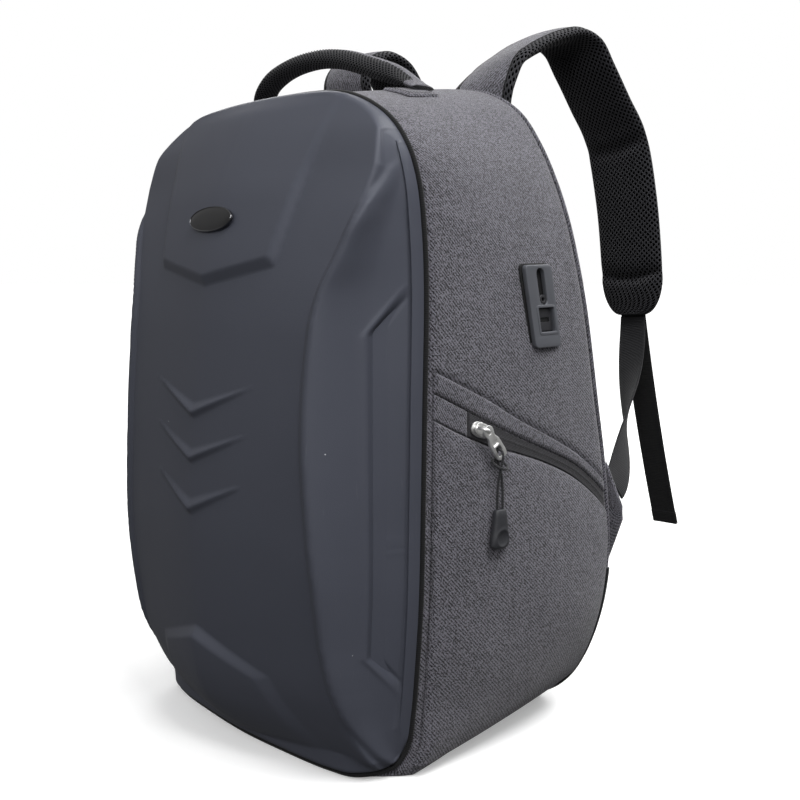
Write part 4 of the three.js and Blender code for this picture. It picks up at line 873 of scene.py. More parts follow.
def twill(name, dark, light, cell):
    """Mottled twill: yarns of uneven shade that pass over two and under two."""
    finish = new_finish(name, 0.88, specular=0.25, sheen=0.25)
    place = weave_of(finish)
    yarn = on_vector(finish, "SCALE", place, 1.0 / cell)
    number = on_vector(finish, "FLOOR", yarn)
    split = node(finish, "ShaderNodeSeparateXYZ", {0: number}).node.outputs
    inside = node(finish, "ShaderNodeSeparateXYZ", {0: on_vector(finish, "FRACTION", yarn)}).node.outputs
    diagonal = calc(finish, "SUBTRACT", split[0], split[1])
    over = calc(finish, "LESS_THAN", calc(finish, "FLOORED_MODULO", diagonal, 4.0), 1.5)
    warp, weft = (
        node(finish, "ShaderNodeTexWhiteNoise", {"W": yarn_number}, noise_dimensions="1D")
        for yarn_number in (split[0], calc(finish, "ADD", split[1], 0.37))
    )
    fleck = node(finish, "ShaderNodeTexWhiteNoise", {"Vector": number}, noise_dimensions="3D")
    drawn_out = node(finish, "ShaderNodeMapping", {"Vector": place, "Scale": (330.0, 900.0, 1.0)})
    streak, cloud = grain(finish, 1.0, 2.0, drawn_out), grain(finish, 26.0, 2.0, place)
    parts = [(over, 0.72), (fleck, 1.40), (calc(finish, "ADD", warp, weft), 0.12)]
    parts += [(centred(finish, streak), 0.22), (centred(finish, cloud), 0.22)]
    shade = calc(finish, "MAXIMUM", blend(finish, -0.66, parts), 0.0)
    coloured(finish, calc(finish, "MINIMUM", shade, 1.0), dark, light)
    round_u, round_v = (calc(finish, "SINE", calc(finish, "MULTIPLY", inside[k], math.pi)) for k in (0, 1))
    bulge = calc(finish, "MULTIPLY", round_u, round_v)
    relief(finish, calc(finish, "MULTIPLY_ADD", over, 0.35, bulge), 0.00014, 0.8)
    return finish


def over_band(row, s, z):
    """Soft swell of the wall above the pocket band, and the dip at the band's seam."""
    above = z - table_value(POCKET_SEAMS, BAND_SEAM, s)
    on_side = (np.abs(row) > BAND_FIRST_ROW) & (above > -1.0)
    above = np.maximum(above, 0)
    rise = BAND_SWELL * (1 - np.exp(-above / BAND_DIP)) * np.exp(-above / BAND_SWELL_REACH)
    return np.where(on_side, rise, 0.0) * np.clip(np.minimum(s, 1 - s) / 0.02, 0, 1)


grey_twill = twill("grey_melange_twill", (0.005, 0.0049, 0.0060), (0.164, 0.159, 0.188), 0.00068)
even_s = np.linspace(0, 1, GUSSET_COLS)
wall_s = GUSSET_CROWDING * (0.5 - 0.5 * np.cos(np.pi * even_s)) + (1 - GUSSET_CROWDING) * even_s
gusset_rows = [np.linspace(low, high, count, endpoint=False) for low, high, count in GUSSET_RUNS]
gusset_rows = np.concatenate(gusset_rows + [[GUSSET_END_ROW]])[:, None]
flat_wall = wall_point(gusset_rows, wall_s)
wall_u, wall_v = cloth_lengths(flat_wall)
ease = SLOW_EASE * ripples(wall_u, wall_v, 11, SLOW_EASE_LENGTH)
ease = ease + QUICK_EASE * ripples(wall_u, wall_v, 12, QUICK_EASE_LENGTH)
ease = ease * eased(np.minimum(wall_s, 1 - wall_s) / EASE_HEM)
pulled = PULL_DEPTH * np.sin(wall_u * 2 * np.pi / PULL_STEP + ripples(wall_u, 0, 13, PULL_WANDER))
pulled = pulled * np.exp(-wall_s / PULL_REACH) * np.clip(wall_s / 0.01, 0, 1)
gusset_lift = over_band(gusset_rows, wall_s, flat_wall[..., 2]) + ease + pulled
gusset_outer = wall_point(gusset_rows, wall_s, gusset_lift)
gusset_outer[..., 2] = np.maximum(gusset_outer[..., 2], 0)
gusset = thick_cloth("gusset_twill", gusset_outer, wall_point(gusset_rows, wall_s, -FABRIC_WALL), grey_twill)
settle(gusset, "grey_fabric", "gusset")

# Bottom panel: the same twill over a stiff board, sewn to the gusset at the lower corners.
# The bag stands on it, so it is flat underneath.
BOTTOM_SEAM, BOTTOM_ROWS = 0.02, 97
bottom_first_row = GUSSET_END_ROW + BOTTOM_SEAM
base_rows = np.linspace(bottom_first_row, 2 * LAST_ROW - bottom_first_row, BOTTOM_ROWS)[:, None]
bottom_inner = wall_point(base_rows, wall_s, -FABRIC_WALL)
bottom = thick_cloth("bottom_twill", wall_point(base_rows, wall_s), bottom_inner, grey_twill)
settle(bottom, "grey_fabric", "bottom_panel")

# Back panel: foam under black air mesh, sewn through in channels for air and bound into the back seam.
# The pads between the channels are blown up by a short cloth simulation, held along the sewn lines.
BACK_PAD_FRONT, BACK_PAD_REAR, BACK_PAD_INSET, BACK_PAD_CROWN, BACK_PAD_LEAST_HALF = 4.0, 9.0, 3.8, 12.0, 40.0
BACK_CHANNELS, SPINE_HALF = (118.0, 246.0, 366.0), 11.0
CHANNEL_SLANT, CHANNEL_HALF, CHANNEL_SUNK, CHANNEL_RUN = 0.12, 5.0, 5.0, 7.0
BACK_PAD_ROWS, BACK_PAD_COLS, BACK_RING_POINTS = 101, 69, 400
BACK_PAD_CLEARANCE, BACK_PAD_FIRST, BACK_PAD_SPAN, BACK_PAD_CROWDING = 0.2, 0.12, 0.76, 1.25
BACK_PAD_HOLD, BACK_PAD_HOLD_RUN, CHANNEL_HOLD, BACK_PAD_PRESSURE, BACK_PAD_MOST = 1.2, 14.0, 1.4, 3.0, 4.0
CLOTH_SETTINGS = {
    "quality": 5, "mass": 0.3, "tension_stiffness": 18.0, "compression_stiffness": 18.0,
    "shear_stiffness": 6.0, "bending_stiffness": 0.8, "use_pressure": True, "vertex_group_mass": "seams",
}
CLOTH_FRAMES = 20


def air_mesh(name, spacing, knit_dark, knit_light):
    """Spacer mesh: a knitted face with rows of small open cells, set half a step apart."""
    finish = new_finish(name, 0.8, specular=0.3, sheen=0.2)
    place = weave_of(finish)
    cells = []
    for shift in (0.0, 0.5):
        grid = on_vector(finish, "SCALE", place, 1.0 / spacing)
        grid = on_vector(finish, "FRACTION", on_vector(finish, "ADD", grid, (shift, shift, 0.0)))
        grid = on_vector(finish, "SUBTRACT", grid, (0.5, 0.5, 0.0))
        grid = on_vector(finish, "MULTIPLY", grid, (1.0, 1.15, 0.0))
        cells.append(on_vector(finish, "LENGTH", grid))
    rim = ranged(finish, calc(finish, "MINIMUM", *cells), 0.20, 0.31, 0.0, 1.0)
    into_shader(finish, "Specular IOR Level", calc(finish, "MULTIPLY", rim, 0.3))
    into_shader(finish, "Sheen Weight", calc(finish, "MULTIPLY", rim, 0.15))
    yarn = waves(finish, place, 1100.0, 1.5, "DIAGONAL")
    knit = calc(finish, "MULTIPLY", rim, calc(finish, "MULTIPLY_ADD", yarn, 0.45, 0.55))
    coloured(finish, knit, knit_dark, knit_light)
    relief(finish, rim, 0.0007, 0.9)
    return finish


def blown_up(piece, held, pressure, most):
    """Swells a sewn pad by cloth simulation, held by weights from 0 to 1, and limits how far it may move."""
    held = np.round(held.reshape(-1), 1)
    seams = piece.vertex_groups.new(name="seams")
    for weight in np.unique(held):
        seams.add(np.nonzero(held == weight)[0].tolist(), float(weight), "REPLACE")
    cloth = piece.modifiers.new("stuffing", "CLOTH")
    for key, value in CLOTH_SETTINGS.items():
        setattr(cloth.settings, key, value)
    cloth.settings.uniform_pressure_force = pressure
    cloth.settings.effector_weights.gravity = 0.0
    cloth.collision_settings.use_collision = False
    cloth.collision_settings.use_self_collision = False
    scene = bpy.context.scene
    for number in range(1, CLOTH_FRAMES + 1):
        scene.frame_set(number)
    before, after = np.zeros((2, len(piece.data.vertices) * 3), np.float32)
    piece.data.vertices.foreach_get("co", before)
    swollen = piece.evaluated_get(bpy.context.evaluated_depsgraph_get())
    swollen.data.vertices.foreach_get("co", after)
    move = (after - before).reshape(-1, 3)
    size = np.linalg.norm(move, axis=1, keepdims=True)
    cap = most * MM
    move *= np.where(size > 1e-9, cap * np.tanh(size / cap) / np.maximum(size, 1e-9), 0.0)
    piece.modifiers.remove(cloth)
    piece.vertex_groups.remove(seams)
    scene.frame_set(1)
    piece.data.vertices.foreach_set("co", before + move.astype(np.float32).reshape(-1))
    piece.data.update()


def finer(piece):
    """One live subdivision, the same in the view and the render."""
    smooth = piece.modifiers.new("finer", "SUBSURF")
    smooth.levels = smooth.render_levels = 1


black_mesh = air_mesh("black_air_mesh", 0.0043, (0.0004, 0.0004, 0.0005), (0.0210, 0.0210, 0.0258))
ring_rows = np.linspace(0, 2 * LAST_ROW, BACK_RING_POINTS + 1)[:-1]
ring_edge = back_at(ring_rows) - outward(back_at, ring_rows) * BACK_PAD_INSET
right_edge = ring_edge[:BACK_RING_POINTS // 2 + 1]
right_edge = right_edge[np.argsort(right_edge[:, 2])]
pad_low = ring_edge[:, 2].min() + BACK_PAD_CLEARANCE
pad_high = ring_edge[:, 2].max() - BACK_PAD_CLEARANCE
pad_up = BACK_PAD_FIRST + BACK_PAD_SPAN * np.linspace(0, 1, BACK_PAD_ROWS)[:, None]
pad_up = -np.cos(np.pi * pad_up)
pad_z = pad_low + (pad_high - pad_low) * (pad_up - pad_up.min()) / (pad_up.max() - pad_up.min())
half_width = np.maximum(np.interp(pad_z, right_edge[:, 2], right_edge[:, 0]), BACK_PAD_LEAST_HALF)
pad_cols = np.linspace(-1, 1, BACK_PAD_COLS)[None, :]
pad_x = half_width * np.sign(pad_cols) * (1 - (1 - np.abs(pad_cols)) ** BACK_PAD_CROWDING)
pad_z = np.broadcast_to(pad_z, pad_x.shape)
to_edge = np.minimum(half_width - np.abs(pad_x), np.minimum(pad_high - pad_z, pad_z - pad_low))
to_channel = np.abs(pad_x) - SPINE_HALF
for level in BACK_CHANNELS:
    slant = level + CHANNEL_SLANT * np.abs(pad_x)
    to_channel = np.minimum(to_channel, np.abs(pad_z - slant) - CHANNEL_HALF)
in_channel = 1 - eased(to_channel / CHANNEL_RUN)
pad_out = (BACK_PAD_REAR - CHANNEL_SUNK * in_channel) * round_edge(to_edge, BACK_PAD_CROWN)
pad_rear = np.stack([pad_x, back_y(pad_z) + pad_out, pad_z], -1)
pad_front = np.stack([pad_x, back_y(pad_z) - BACK_PAD_FRONT, pad_z], -1)
back_pad = thick_cloth("back_pad_mesh", pad_rear, pad_front, black_mesh)
held_rear = np.maximum(BACK_PAD_HOLD - to_edge / BACK_PAD_HOLD_RUN, in_channel * CHANNEL_HOLD)
held_rear = np.clip(held_rear, 0, 1)
held_pad = np.concatenate([held_rear, np.ones_like(held_rear)], axis=1)
blown_up(back_pad, held_pad, BACK_PAD_PRESSURE, BACK_PAD_MOST)
finer(back_pad)
settle(back_pad, "black_mesh", "back_panel")

# Back piping: a cord round the back panel, caught between it and the gusset.
# Over the top and sides it is wrapped in the twill, and round the base in black tape, which wears better.
PIPING_CHANGE_ROW, PIPING_CHANGE_GAP, TWILL_PIPING_INSET = 11.6, 0.01, 0.7
upper_rows = np.linspace(-PIPING_CHANGE_ROW, PIPING_CHANGE_ROW, 361)
tape_first_row = PIPING_CHANGE_ROW + PIPING_CHANGE_GAP
lower_rows = np.linspace(tape_first_row, 2 * LAST_ROW - tape_first_row, 241)
upper_line = back_at(upper_rows) - outward(back_at, upper_rows) * TWILL_PIPING_INSET
twill_piping = grown("back_piping_twill", [upper_line], sweep_tree, Finish=grey_twill, Sides=PIPING_SIDES,
                     Radius=(BACK_PIPING_RADIUS - TWILL_PIPING_INSET) * MM)
settle(twill_piping, "grey_fabric", "back_piping")
black_piping = grown("back_piping_tape", [back_at(lower_rows)], sweep_tree, Finish=tape_finish,
                     Sides=PIPING_SIDES, Radius=BACK_PIPING_RADIUS * MM)
settle(black_piping, "black_trim")

# Pocket panels: the same twill, cut full so that it bulges over the side pocket, its edges turned in.
# A short cloth simulation pushes it out between its seams, which hold it all round.
POCKET_GAP, POCKET_WALL, POCKET_BULGE, POCKET_END_ROW, POCKET_TURNED = 1.4, 2.0, 7.0, 14.6, 2.4
POCKET_SLACK, POCKET_SLACK_LENGTH, POCKET_CREASE, POCKET_CREASE_LENGTH, POCKET_HEM = 0.55, 95, 0.16, 34, 30
POCKET_HOLD, POCKET_HOLD_RUN, POCKET_PRESSURE, POCKET_MOST = 1.25, 16.0, 2.2, 3.0
LAYER_GAP, SEAM_CLEARANCE, TURNED_EDGE = 0.4, 0.4, 0.15
FIRST_S, LAST_S = 0.02, 0.985


def row_where(held, shape, low, high):
    """Outline row up to which a test holds, found by halving between two rows."""
    low, high = np.full(shape, float(low)), np.full(shape, float(high))
    for _ in range(30):
        halfway = (low + high) / 2
        holds = held(halfway)
        low, high = np.where(holds, halfway, low), np.where(holds, high, halfway)
    return low


def seam_row(column, clearance):
    """Gives the outline row at which the right wall reaches a pocket seam, for any share s."""
    def at(s):
        z, rows = table_value(POCKET_SEAMS, column, s) + clearance, (TOP_CORNER_ROW, GUSSET_END_ROW)
        return row_where(lambda row: wall_point(row, s)[..., 2] > z, np.shape(s), *rows)

    return at


def close_to_ends(count, pull=0.8, first=0.0, last=1.0):
    """Shares from first to last that crowd towards both ends."""
    t = np.linspace(0, 1, count)
    return first + (last - first) * (t - pull * np.sin(2 * np.pi * t) / (2 * np.pi))


def border_distance(grid):
    """Distance in mm from each point of a grid to its nearest border, along the grid's own lines."""
    distances = []
    for axis in (0, 1):
        run = np.cumsum(np.linalg.norm(np.diff(grid, axis=axis), axis=-1), axis=axis)
        run = np.concatenate([np.zeros_like(np.take(run, [0], axis)), run], axis)
        distances += [run, np.take(run, [-1], axis) - run]
    return np.minimum.reduce(distances)


def turned_edge(to_border, radius, thinnest=TURNED_EDGE):
    """Share of the full thickness of a layer whose edge is turned in."""
    return thinnest + (1 - thinnest) * round_edge(to_border, radius)


def wall_layer(name, sign, shares, across, seams, wall, turned, finish, extra, gap=LAYER_GAP):
    """Layer of cloth on the side wall between two seams; gives the piece and the distances to its border."""
    s, f = shares[:, None], across[None, :]
    top_row, base_row = seams
    rows = top_row(s) * (1 - f) + base_row(s) * f
    flat = wall_point(rows, s, gap)
    to_border = border_distance(flat)
    lift = gap + wall * turned_edge(to_border, turned) + extra(s, f, to_border, *cloth_lengths(flat))
    side = np.array([sign, 1.0, 1.0])
    return thick_cloth(name, wall_point(rows, s, lift) * side, flat * side, finish), to_border


def pocket_swell(s, f, to_border, u, v):
    fill = np.sin(np.pi * (s - FIRST_S) / (LAST_S - FIRST_S)) * np.sin(np.pi * f)
    slack = ripples(u, v, 21, POCKET_SLACK_LENGTH) * POCKET_SLACK
    slack = slack + ripples(u, v, 22, POCKET_CREASE_LENGTH) * POCKET_CREASE
    return POCKET_BULGE * np.sqrt(np.maximum(fill, 0)) + slack * eased(to_border / POCKET_HEM)


pocket_seams = (seam_row(POCKET_SEAM, -SEAM_CLEARANCE), lambda s: np.full(np.shape(s), POCKET_END_ROW))
pocket_shares = close_to_ends(67, first=FIRST_S, last=LAST_S)
for side, sign in SIDES.items():
    panel, to_border = wall_layer(
        f"pocket_panel_{side}_twill", sign, pocket_shares, close_to_ends(75), pocket_seams,
        POCKET_WALL, POCKET_TURNED, grey_twill, pocket_swell, POCKET_GAP)
    held = np.clip(POCKET_HOLD - to_border / POCKET_HOLD_RUN, 0, 1)
    held = np.concatenate([held, np.ones_like(held)], axis=1)
    blown_up(panel, held, POCKET_PRESSURE, POCKET_MOST)
    finer(panel)
    settle(panel, "grey_fabric", f"pocket_panel_{side}")

# Pocket bands: a strip of twill turned over the upper tape of each zip, sewn to the gusset along its top.
# Its two edges are rolled, and a row of dark stitches runs along the lower one.
BAND_WALL, BAND_TURNED, BAND_STITCH_INSET, STITCH_LIFT, LAYER_HEM = 2.4, 2.2, 2.6, 0.12, 4
SEWN_NODES = {
    "space": ("GeometryNodeResampleCurve", {"mode": "LENGTH"}),
    "bead": ("GeometryNodeMeshUVSphere", {"Segments": 8, "Rings": 4, "Radius": 0.5}),
    "tangent": ("GeometryNodeInputTangent", {}),
    "out": ("GeometryNodeInputNamedAttribute", {"data_type": "FLOAT_VECTOR", "Name": "out"}),
    "along": ("FunctionNodeAlignRotationToVector", {"axis": "X"}),
    "flat": ("FunctionNodeAlignRotationToVector", {"axis": "Z", "pivot_axis": "X"}),
    "place": ("GeometryNodeInstanceOnPoints", {}),
}
SEWN_LINKS = (
    "line.Curve > space.Curve", "given.Step > space.Length", "space.Curve > place.Points",
    "bead.Mesh > smooth.Geometry", "smooth.Geometry > place.Instance", "tangent.Tangent > along.Vector",
    "along.Rotation > flat.Rotation", "out.Attribute > flat.Vector", "flat.Rotation > place.Rotation",
    "given.Size > place.Scale", "place.Instances > realize.Geometry",
)
sewn_tree = path_tree("sewn_row", {"Step": "Float", "Size": "Vector"}, SEWN_NODES, SEWN_LINKS)
thread_finish = new_finish("dark_thread", 0.7, specular=0.3, sheen=0.1)
thread_shade = grain(thread_finish, 2600.0, 1.0)
coloured(thread_finish, thread_shade, (0.006, 0.006, 0.007), (0.030, 0.029, 0.032))
relief(thread_finish, thread_shade, 0.0001)


def sewn_row(name, slot, lines, step, size):
    """Rows of small beads along lines, each line given as its points and its directions out of the cloth."""
    paths, outs = zip(*lines)
    row = grown(name, paths, sewn_tree, outs, Step=step * MM, Size=Vector(size) * MM, Finish=thread_finish)
    return settle(row, slot)


def wall_line(sign, s, rows, lift):
    """Line along the wall with its directions out of the bag."""
    line = wall_point(rows, s, lift) * (sign, 1, 1)
    beyond = wall_point(rows, s, lift + 1.0) * (sign, 1, 1)
    return line, unit(beyond - line)


def small_ripples(depth, seed, length):
    """Gives the small ripples of a sewn layer, which die out at its edges."""
    return lambda s, f, to_border, u, v: depth * ripples(u, v, seed, length) * eased(to_border / LAYER_HEM)


band_seams = (seam_row(BAND_SEAM, 0.0), seam_row(ZIP_SEAM, SEAM_CLEARANCE))
band_shares = close_to_ends(121, 0.4, FIRST_S, LAST_S)
stitch_shares = np.linspace(FIRST_S + 0.01, LAST_S - 0.02, 160)
for side, sign in SIDES.items():
    band, _ = wall_layer(f"pocket_band_{side}_twill", sign, band_shares, close_to_ends(15, 0.7), band_seams,
                         BAND_WALL, BAND_TURNED, grey_twill, small_ripples(0.18, 23, 30))
    settle(band, "grey_fabric", f"pocket_band_{side}")
    stitch_row = seam_row(ZIP_SEAM, BAND_STITCH_INSET)(stitch_shares)
    line = wall_line(sign, stitch_shares, stitch_row, LAYER_GAP + BAND_WALL + STITCH_LIFT)
    sewn_row(f"band_stitches_{side}", "black_trim", [line], 2.9, (2.1, 0.55, 0.45))

# Zip patches: a short piece of twill over the front end of each zip, folded under where the zip begins.
# It is sewn down by the shell's seam and along both edges.
PATCH_WALL, PATCH_END_GAP, PATCH_TURNED = 1.8, 0.004, 1.9
ZIP_START_S = 0.195
zip_seams = (seam_row(ZIP_SEAM, -SEAM_CLEARANCE), seam_row(POCKET_SEAM, SEAM_CLEARANCE))
patch_shares = close_to_ends(31, 0.6, FIRST_S, ZIP_START_S - PATCH_END_GAP)
for side, sign in SIDES.items():
    zip_patch, _ = wall_layer(f"zip_patch_{side}_twill", sign, patch_shares, close_to_ends(17, 0.7),
                              zip_seams, PATCH_WALL, PATCH_TURNED, grey_twill, small_ripples(0.25, 24, 22))
    settle(zip_patch, "grey_fabric", f"zip_patch_{side}")

# Zip tapes: fine dark tape with its coil inside, so that only the line where the two halves meet shows.
# The coil's edge is a row of small dark beads along the middle.
TAPE_WALL, TAPE_TURNED, COIL_LIFT, COIL_START_S, COIL_END_S = 1.2, 0.8, 0.05, 0.30, LAST_S - 0.015
TAPE_RIDGE, TAPE_RIDGE_WIDTH, TAPE_SLIT, TAPE_SLIT_WIDTH = 0.35, 0.13, 0.55, 0.035
zip_finish = new_finish("zip_tape", 0.78, specular=0.3, sheen=0.12)
zip_weave = weave_of(zip_finish)
zip_cross = waves(zip_finish, zip_weave, 420.0, 1.2, "X")
zip_long = waves(zip_finish, zip_weave, 300.0, 0.6, "Y")
zip_fuzz = centred(zip_finish, grain(zip_finish, 420.0, 2.0, zip_weave))
zip_yarn = blend(zip_finish, calc(zip_finish, "MULTIPLY", zip_cross, zip_long), [(zip_fuzz, 0.8)])
coloured(zip_finish, zip_yarn, (0.014, 0.0137, 0.0155), (0.064, 0.062, 0.071))
relief(zip_finish, zip_yarn, 0.00018)


def coil_ridge(s, f, to_border, u, v):
    return TAPE_RIDGE * hump(f, 0.5, TAPE_RIDGE_WIDTH) - TAPE_SLIT * hump(f, 0.5, TAPE_SLIT_WIDTH)


tape_shares = close_to_ends(101, 0.3, ZIP_START_S, LAST_S)
coil_shares = np.linspace(COIL_START_S, COIL_END_S, 200)
for side, sign in SIDES.items():
    tape, _ = wall_layer(f"zip_tape_{side}_woven", sign, tape_shares, np.linspace(0, 1, 25), zip_seams,
                         TAPE_WALL, TAPE_TURNED, zip_finish, coil_ridge)
    settle(tape, "zip_black", f"zip_tape_{side}")
    coil_row = (seam_row(ZIP_SEAM, 0)(coil_shares) + seam_row(POCKET_SEAM, 0)(coil_shares)) / 2
    line = wall_line(sign, coil_shares, coil_row, LAYER_GAP + TAPE_WALL + COIL_LIFT)
    sewn_row(f"zip_coil_{side}", "zip_black", [line], 1.25, (0.8, 1.5, 0.7))

# Zip sliders: cast and plated metal, two plates round a wedge, and a bridge that holds the pull's ring.
# The front end is the rounder one, and the plating is slightly worn in patches.
SLIDER_PLACE = Matrix((
    (0.0739, 0.0150, 0.9972, 156.831), (0.9972, -0.0093, -0.0738, 42.898), (0.0082, 0.9998, -0.0156, 235.965),
    (0, 0, 0, 1),
))
ZIP_SLOPE = -0.42
SIDE_FLIPS = {"right": Matrix(), "left": Matrix.Diagonal((-1.0, 1.0, 1.0, 1.0))}
SLIDER_PROFILE = [
    (-7.3, 0.0), (-6.9, 2.0), (-5.4, 3.6), (-2.6, 4.4), (1.0, 4.6), (4.5, 4.0), (6.6, 3.4), (7.2, 2.4),
    (7.3, 0.0),
]
WEDGE_PROFILE = [(-6.0, 0.0), (-5.4, 1.4), (-3.0, 2.0), (0.0, 1.4), (2.5, 0.7), (3.2, 0.0)]
BRIDGE_LINE = [
    (-5.4, 0, 3.6), (-5.7, 0, 6.5), (-4.7, 0, 10.2), (-2.2, 0, 11.6), (0.4, 0, 10.4), (1.5, 0, 7.0),
    (1.7, 0, 3.6),
]
BRIDGE_WIDTH, BRIDGE_HEIGHT = 2.5, 1.7


def worn(finish, scale, detail, dark, light, smoothest, roughest):
    """Colour and roughness that change together in patches."""
    wear = grain(finish, scale, detail)
    coloured(finish, wear, dark, light)
    into_shader(finish, "Roughness", ranged(finish, wear, 0.3, 0.7, smoothest, roughest))
    return wear


silver_finish = new_finish("plated_metal", 0.24, metallic=1.0)
silver_wear = worn(silver_finish, 500.0, 4.0, (0.82, 0.82, 0.81), (0.97, 0.97, 0.96), 0.32, 0.46)
relief(silver_finish, silver_wear, 0.00005)


def cut_plate(outlines, thickness, bevel, base=0.0):
    """Bevelled flat plate in mm, cut from outlines: first the outside, then the holes."""
    curve = bpy.data.curves.new("cut", "CURVE")
    curve.dimensions = "2D"
    curve.fill_mode = "BOTH"
    curve.extrude = thickness / 2 - bevel
    curve.bevel_depth = bevel
    curve.bevel_resolution = 2
    for outline in outlines:
        spline = curve.splines.new("POLY")
        spline.points.add(len(outline) - 1)
        spline.use_cyclic_u = True
        for knot, place in zip(spline.points, outline):
            knot.co = (*place, 0.0, 1.0)
    carrier = added("cut", curve)
    mesh = plain_mesh(carrier)
    bpy.data.objects.remove(carrier)
    bpy.data.curves.remove(curve)
    mesh.transform(Matrix.Translation((0, 0, base + thickness / 2)))
    return mesh


def arc_points(cx, cy, width, height, turns):
    """Points of an ellipse, given its half width and half height, at some turns."""
    return [(cx + width * math.cos(turn), cy + height * math.sin(turn)) for turn in turns]


def rounded_box(cx, cy, width, height, radius):
    """Outline of a rectangle with round corners."""
    points = []
    for quarter, (sx, sy) in enumerate(((1, 1), (-1, 1), (-1, -1), (1, -1))):
        turns = quarter * np.pi / 2 + np.linspace(0, np.pi / 2, 6)
        corner_x, corner_y = cx + sx * (width / 2 - radius), cy + sy * (height / 2 - radius)
        points += arc_points(corner_x, corner_y, radius, radius, turns)
    return points


def profile_outline(rows, count=60):
    """Closed outline from half widths along an axis."""
    line = drawn(rows, count)
    return [tuple(p) for p in line] + [(px, -py) for px, py in line[::-1] if py > 1e-6]


def assembled(name, parts, finishes, place):
    """One plain mesh from several parts in mm, each with its own finish number, set in its place."""
    builder = bmesh.new()
    for mesh, kind in parts:
        start = len(builder.faces)
        builder.from_mesh(mesh)
        builder.faces.ensure_lookup_table()
        for face in builder.faces[start:]:
            face.material_index = kind
    bmesh.ops.remove_doubles(builder, verts=builder.verts, dist=1e-4)
    bmesh.ops.transform(builder, matrix=Matrix.Scale(MM, 4) @ place, verts=builder.verts)
    bmesh.ops.recalc_face_normals(builder, faces=builder.faces)
    mesh = bpy.data.meshes.new(name)
    builder.to_mesh(mesh)
    builder.free()
    for finish in finishes:
        mesh.materials.append(finish)
    mesh.shade_smooth()
    mesh.set_sharp_from_angle(angle=math.radians(40))
    return added(name, mesh)


def swept_bar(line, width, height, sides=16):
    """Closed bar of oval section along a line in the plane y = 0, in mm."""
    along = unit(np.gradient(line, axis=0))
    up = np.stack([-along[:, 2], np.zeros(len(line)), along[:, 0]], -1)[:, None]
    turn = full_turn(sides)[None, :, None]
    rings = line[:, None] + np.cos(turn) * np.array([0, width / 2, 0]) + np.sin(turn) * up * height / 2
    count = len(line)
    faces = [
        (i * sides + j, i * sides + (j + 1) % sides, (i + 1) * sides + (j + 1) % sides, (i + 1) * sides + j)
        for i in range(count - 1) for j in range(sides)
    ]
    faces += [tuple(range(sides))[::-1], tuple(range((count - 1) * sides, count * sides))]
    mesh = bpy.data.meshes.new("bar")
    mesh.from_pydata(rings.reshape(-1, 3).tolist(), [], faces)
    return mesh


slider_outline = profile_outline(SLIDER_PROFILE)
upper_outline = [(px * 0.93, py * 0.9) for px, py in slider_outline]
slider_parts = [
    (cut_plate([slider_outline], 1.5, 0.45), 0),
    (cut_plate([profile_outline(WEDGE_PROFILE)], 2.6, 0.3, 1.0), 0),
    (cut_plate([upper_outline], 1.4, 0.45, 3.1), 0),
    (swept_bar(drawn(BRIDGE_LINE, 40), BRIDGE_WIDTH, BRIDGE_HEIGHT), 0),
]
for side, flip in SIDE_FLIPS.items():
    slider_place = flip @ SLIDER_PLACE @ Matrix.Rotation(ZIP_SLOPE, 4, "Z")
    slider = assembled(f"zip_slider_{side}_metal", slider_parts, [silver_finish], slider_place)
    settle(slider, "silver_metal", f"zip_slider_{side}")

# Pull tabs: stamped and plated metal with a ring at the top, a sunk panel and an open slot for the cord.
# Each hangs from its slider's bridge and leans down and back.
PULL_PLACE = Matrix((
    (0.0313, 0.0686, 0.9972, 164.709), (0.5937, 0.8013, -0.0738, 42.316), (-0.8041, 0.5943, -0.0156, 235.842),
    (0, 0, 0, 1),
))
PULL_PROFILE = [
    (-3.8, 0.0), (-3.3, 2.0), (-2.0, 3.3), (0.0, 3.9), (2.2, 3.5), (4.2, 2.9), (6.2, 3.1), (8.0, 4.0),
    (10.0, 4.4), (14.0, 4.5), (19.0, 4.5), (21.4, 4.2), (22.5, 3.2), (22.8, 1.6), (22.8, 0.0),
]
PULL_LEAF = 1.1
ring_hole = arc_points(0.2, 0.0, 2.75, 2.15, full_turn(32))
pull_outlines = [profile_outline(PULL_PROFILE, 90), ring_hole, rounded_box(17.1, 0.0, 7.6, 5.4, 1.2)]
sunk_panel = rounded_box(10.2, 0.0, 4.4, 5.2, 0.7)
pull_parts = [
    (cut_plate(pull_outlines, PULL_LEAF, 0.25), 0),
    (cut_plate(pull_outlines + [sunk_panel], PULL_LEAF, 0.3, 0.9), 0),
]
for side, flip in SIDE_FLIPS.items():
    pull = assembled(f"zip_pull_{side}_metal", pull_parts, [silver_finish], flip @ PULL_PLACE)
    settle(pull, "silver_metal", f"zip_pull_{side}")

# Port plate: a satin plastic plate, riveted to the gusset, with a slot and a square window; it leans with the
# back edge.
# Its black gasket shows round its edge as painted shade. A round socket sits at the foot of the slot, a
# socket panel in the window.
PLATE_PLACE = Matrix((
    (0.0127, -0.0155, 0.9998, 159.693), (0.9996, -0.2051, -0.0130, 97.982), (0.0253, 0.9950, 0.0129, 317.031),
    (0, 0, 0, 1),
))
PLATE_WIDTH, PLATE_HEIGHT, PLATE_THICKNESS, PLATE_BEVEL, PLATE_CORNER = 26.0, 57.0, 4.0, 0.7, 2.6
SLOT_X, SLOT_LOW, SLOT_HIGH, SLOT_WIDTH = 1.0, 1.0, 26.0, 7.5
WINDOW_MIDDLE, WINDOW_WIDTH, WINDOW_HEIGHT = (1.8, -9.4), 14.7, 16.5
SOCKET_MIDDLE, SOCKET_RADIUS, SOCKET_BORE, SOCKET_FLOOR = (1.0, 4.75), 2.9, 1.75, 1.9
SOCKET_BASE = 0.4


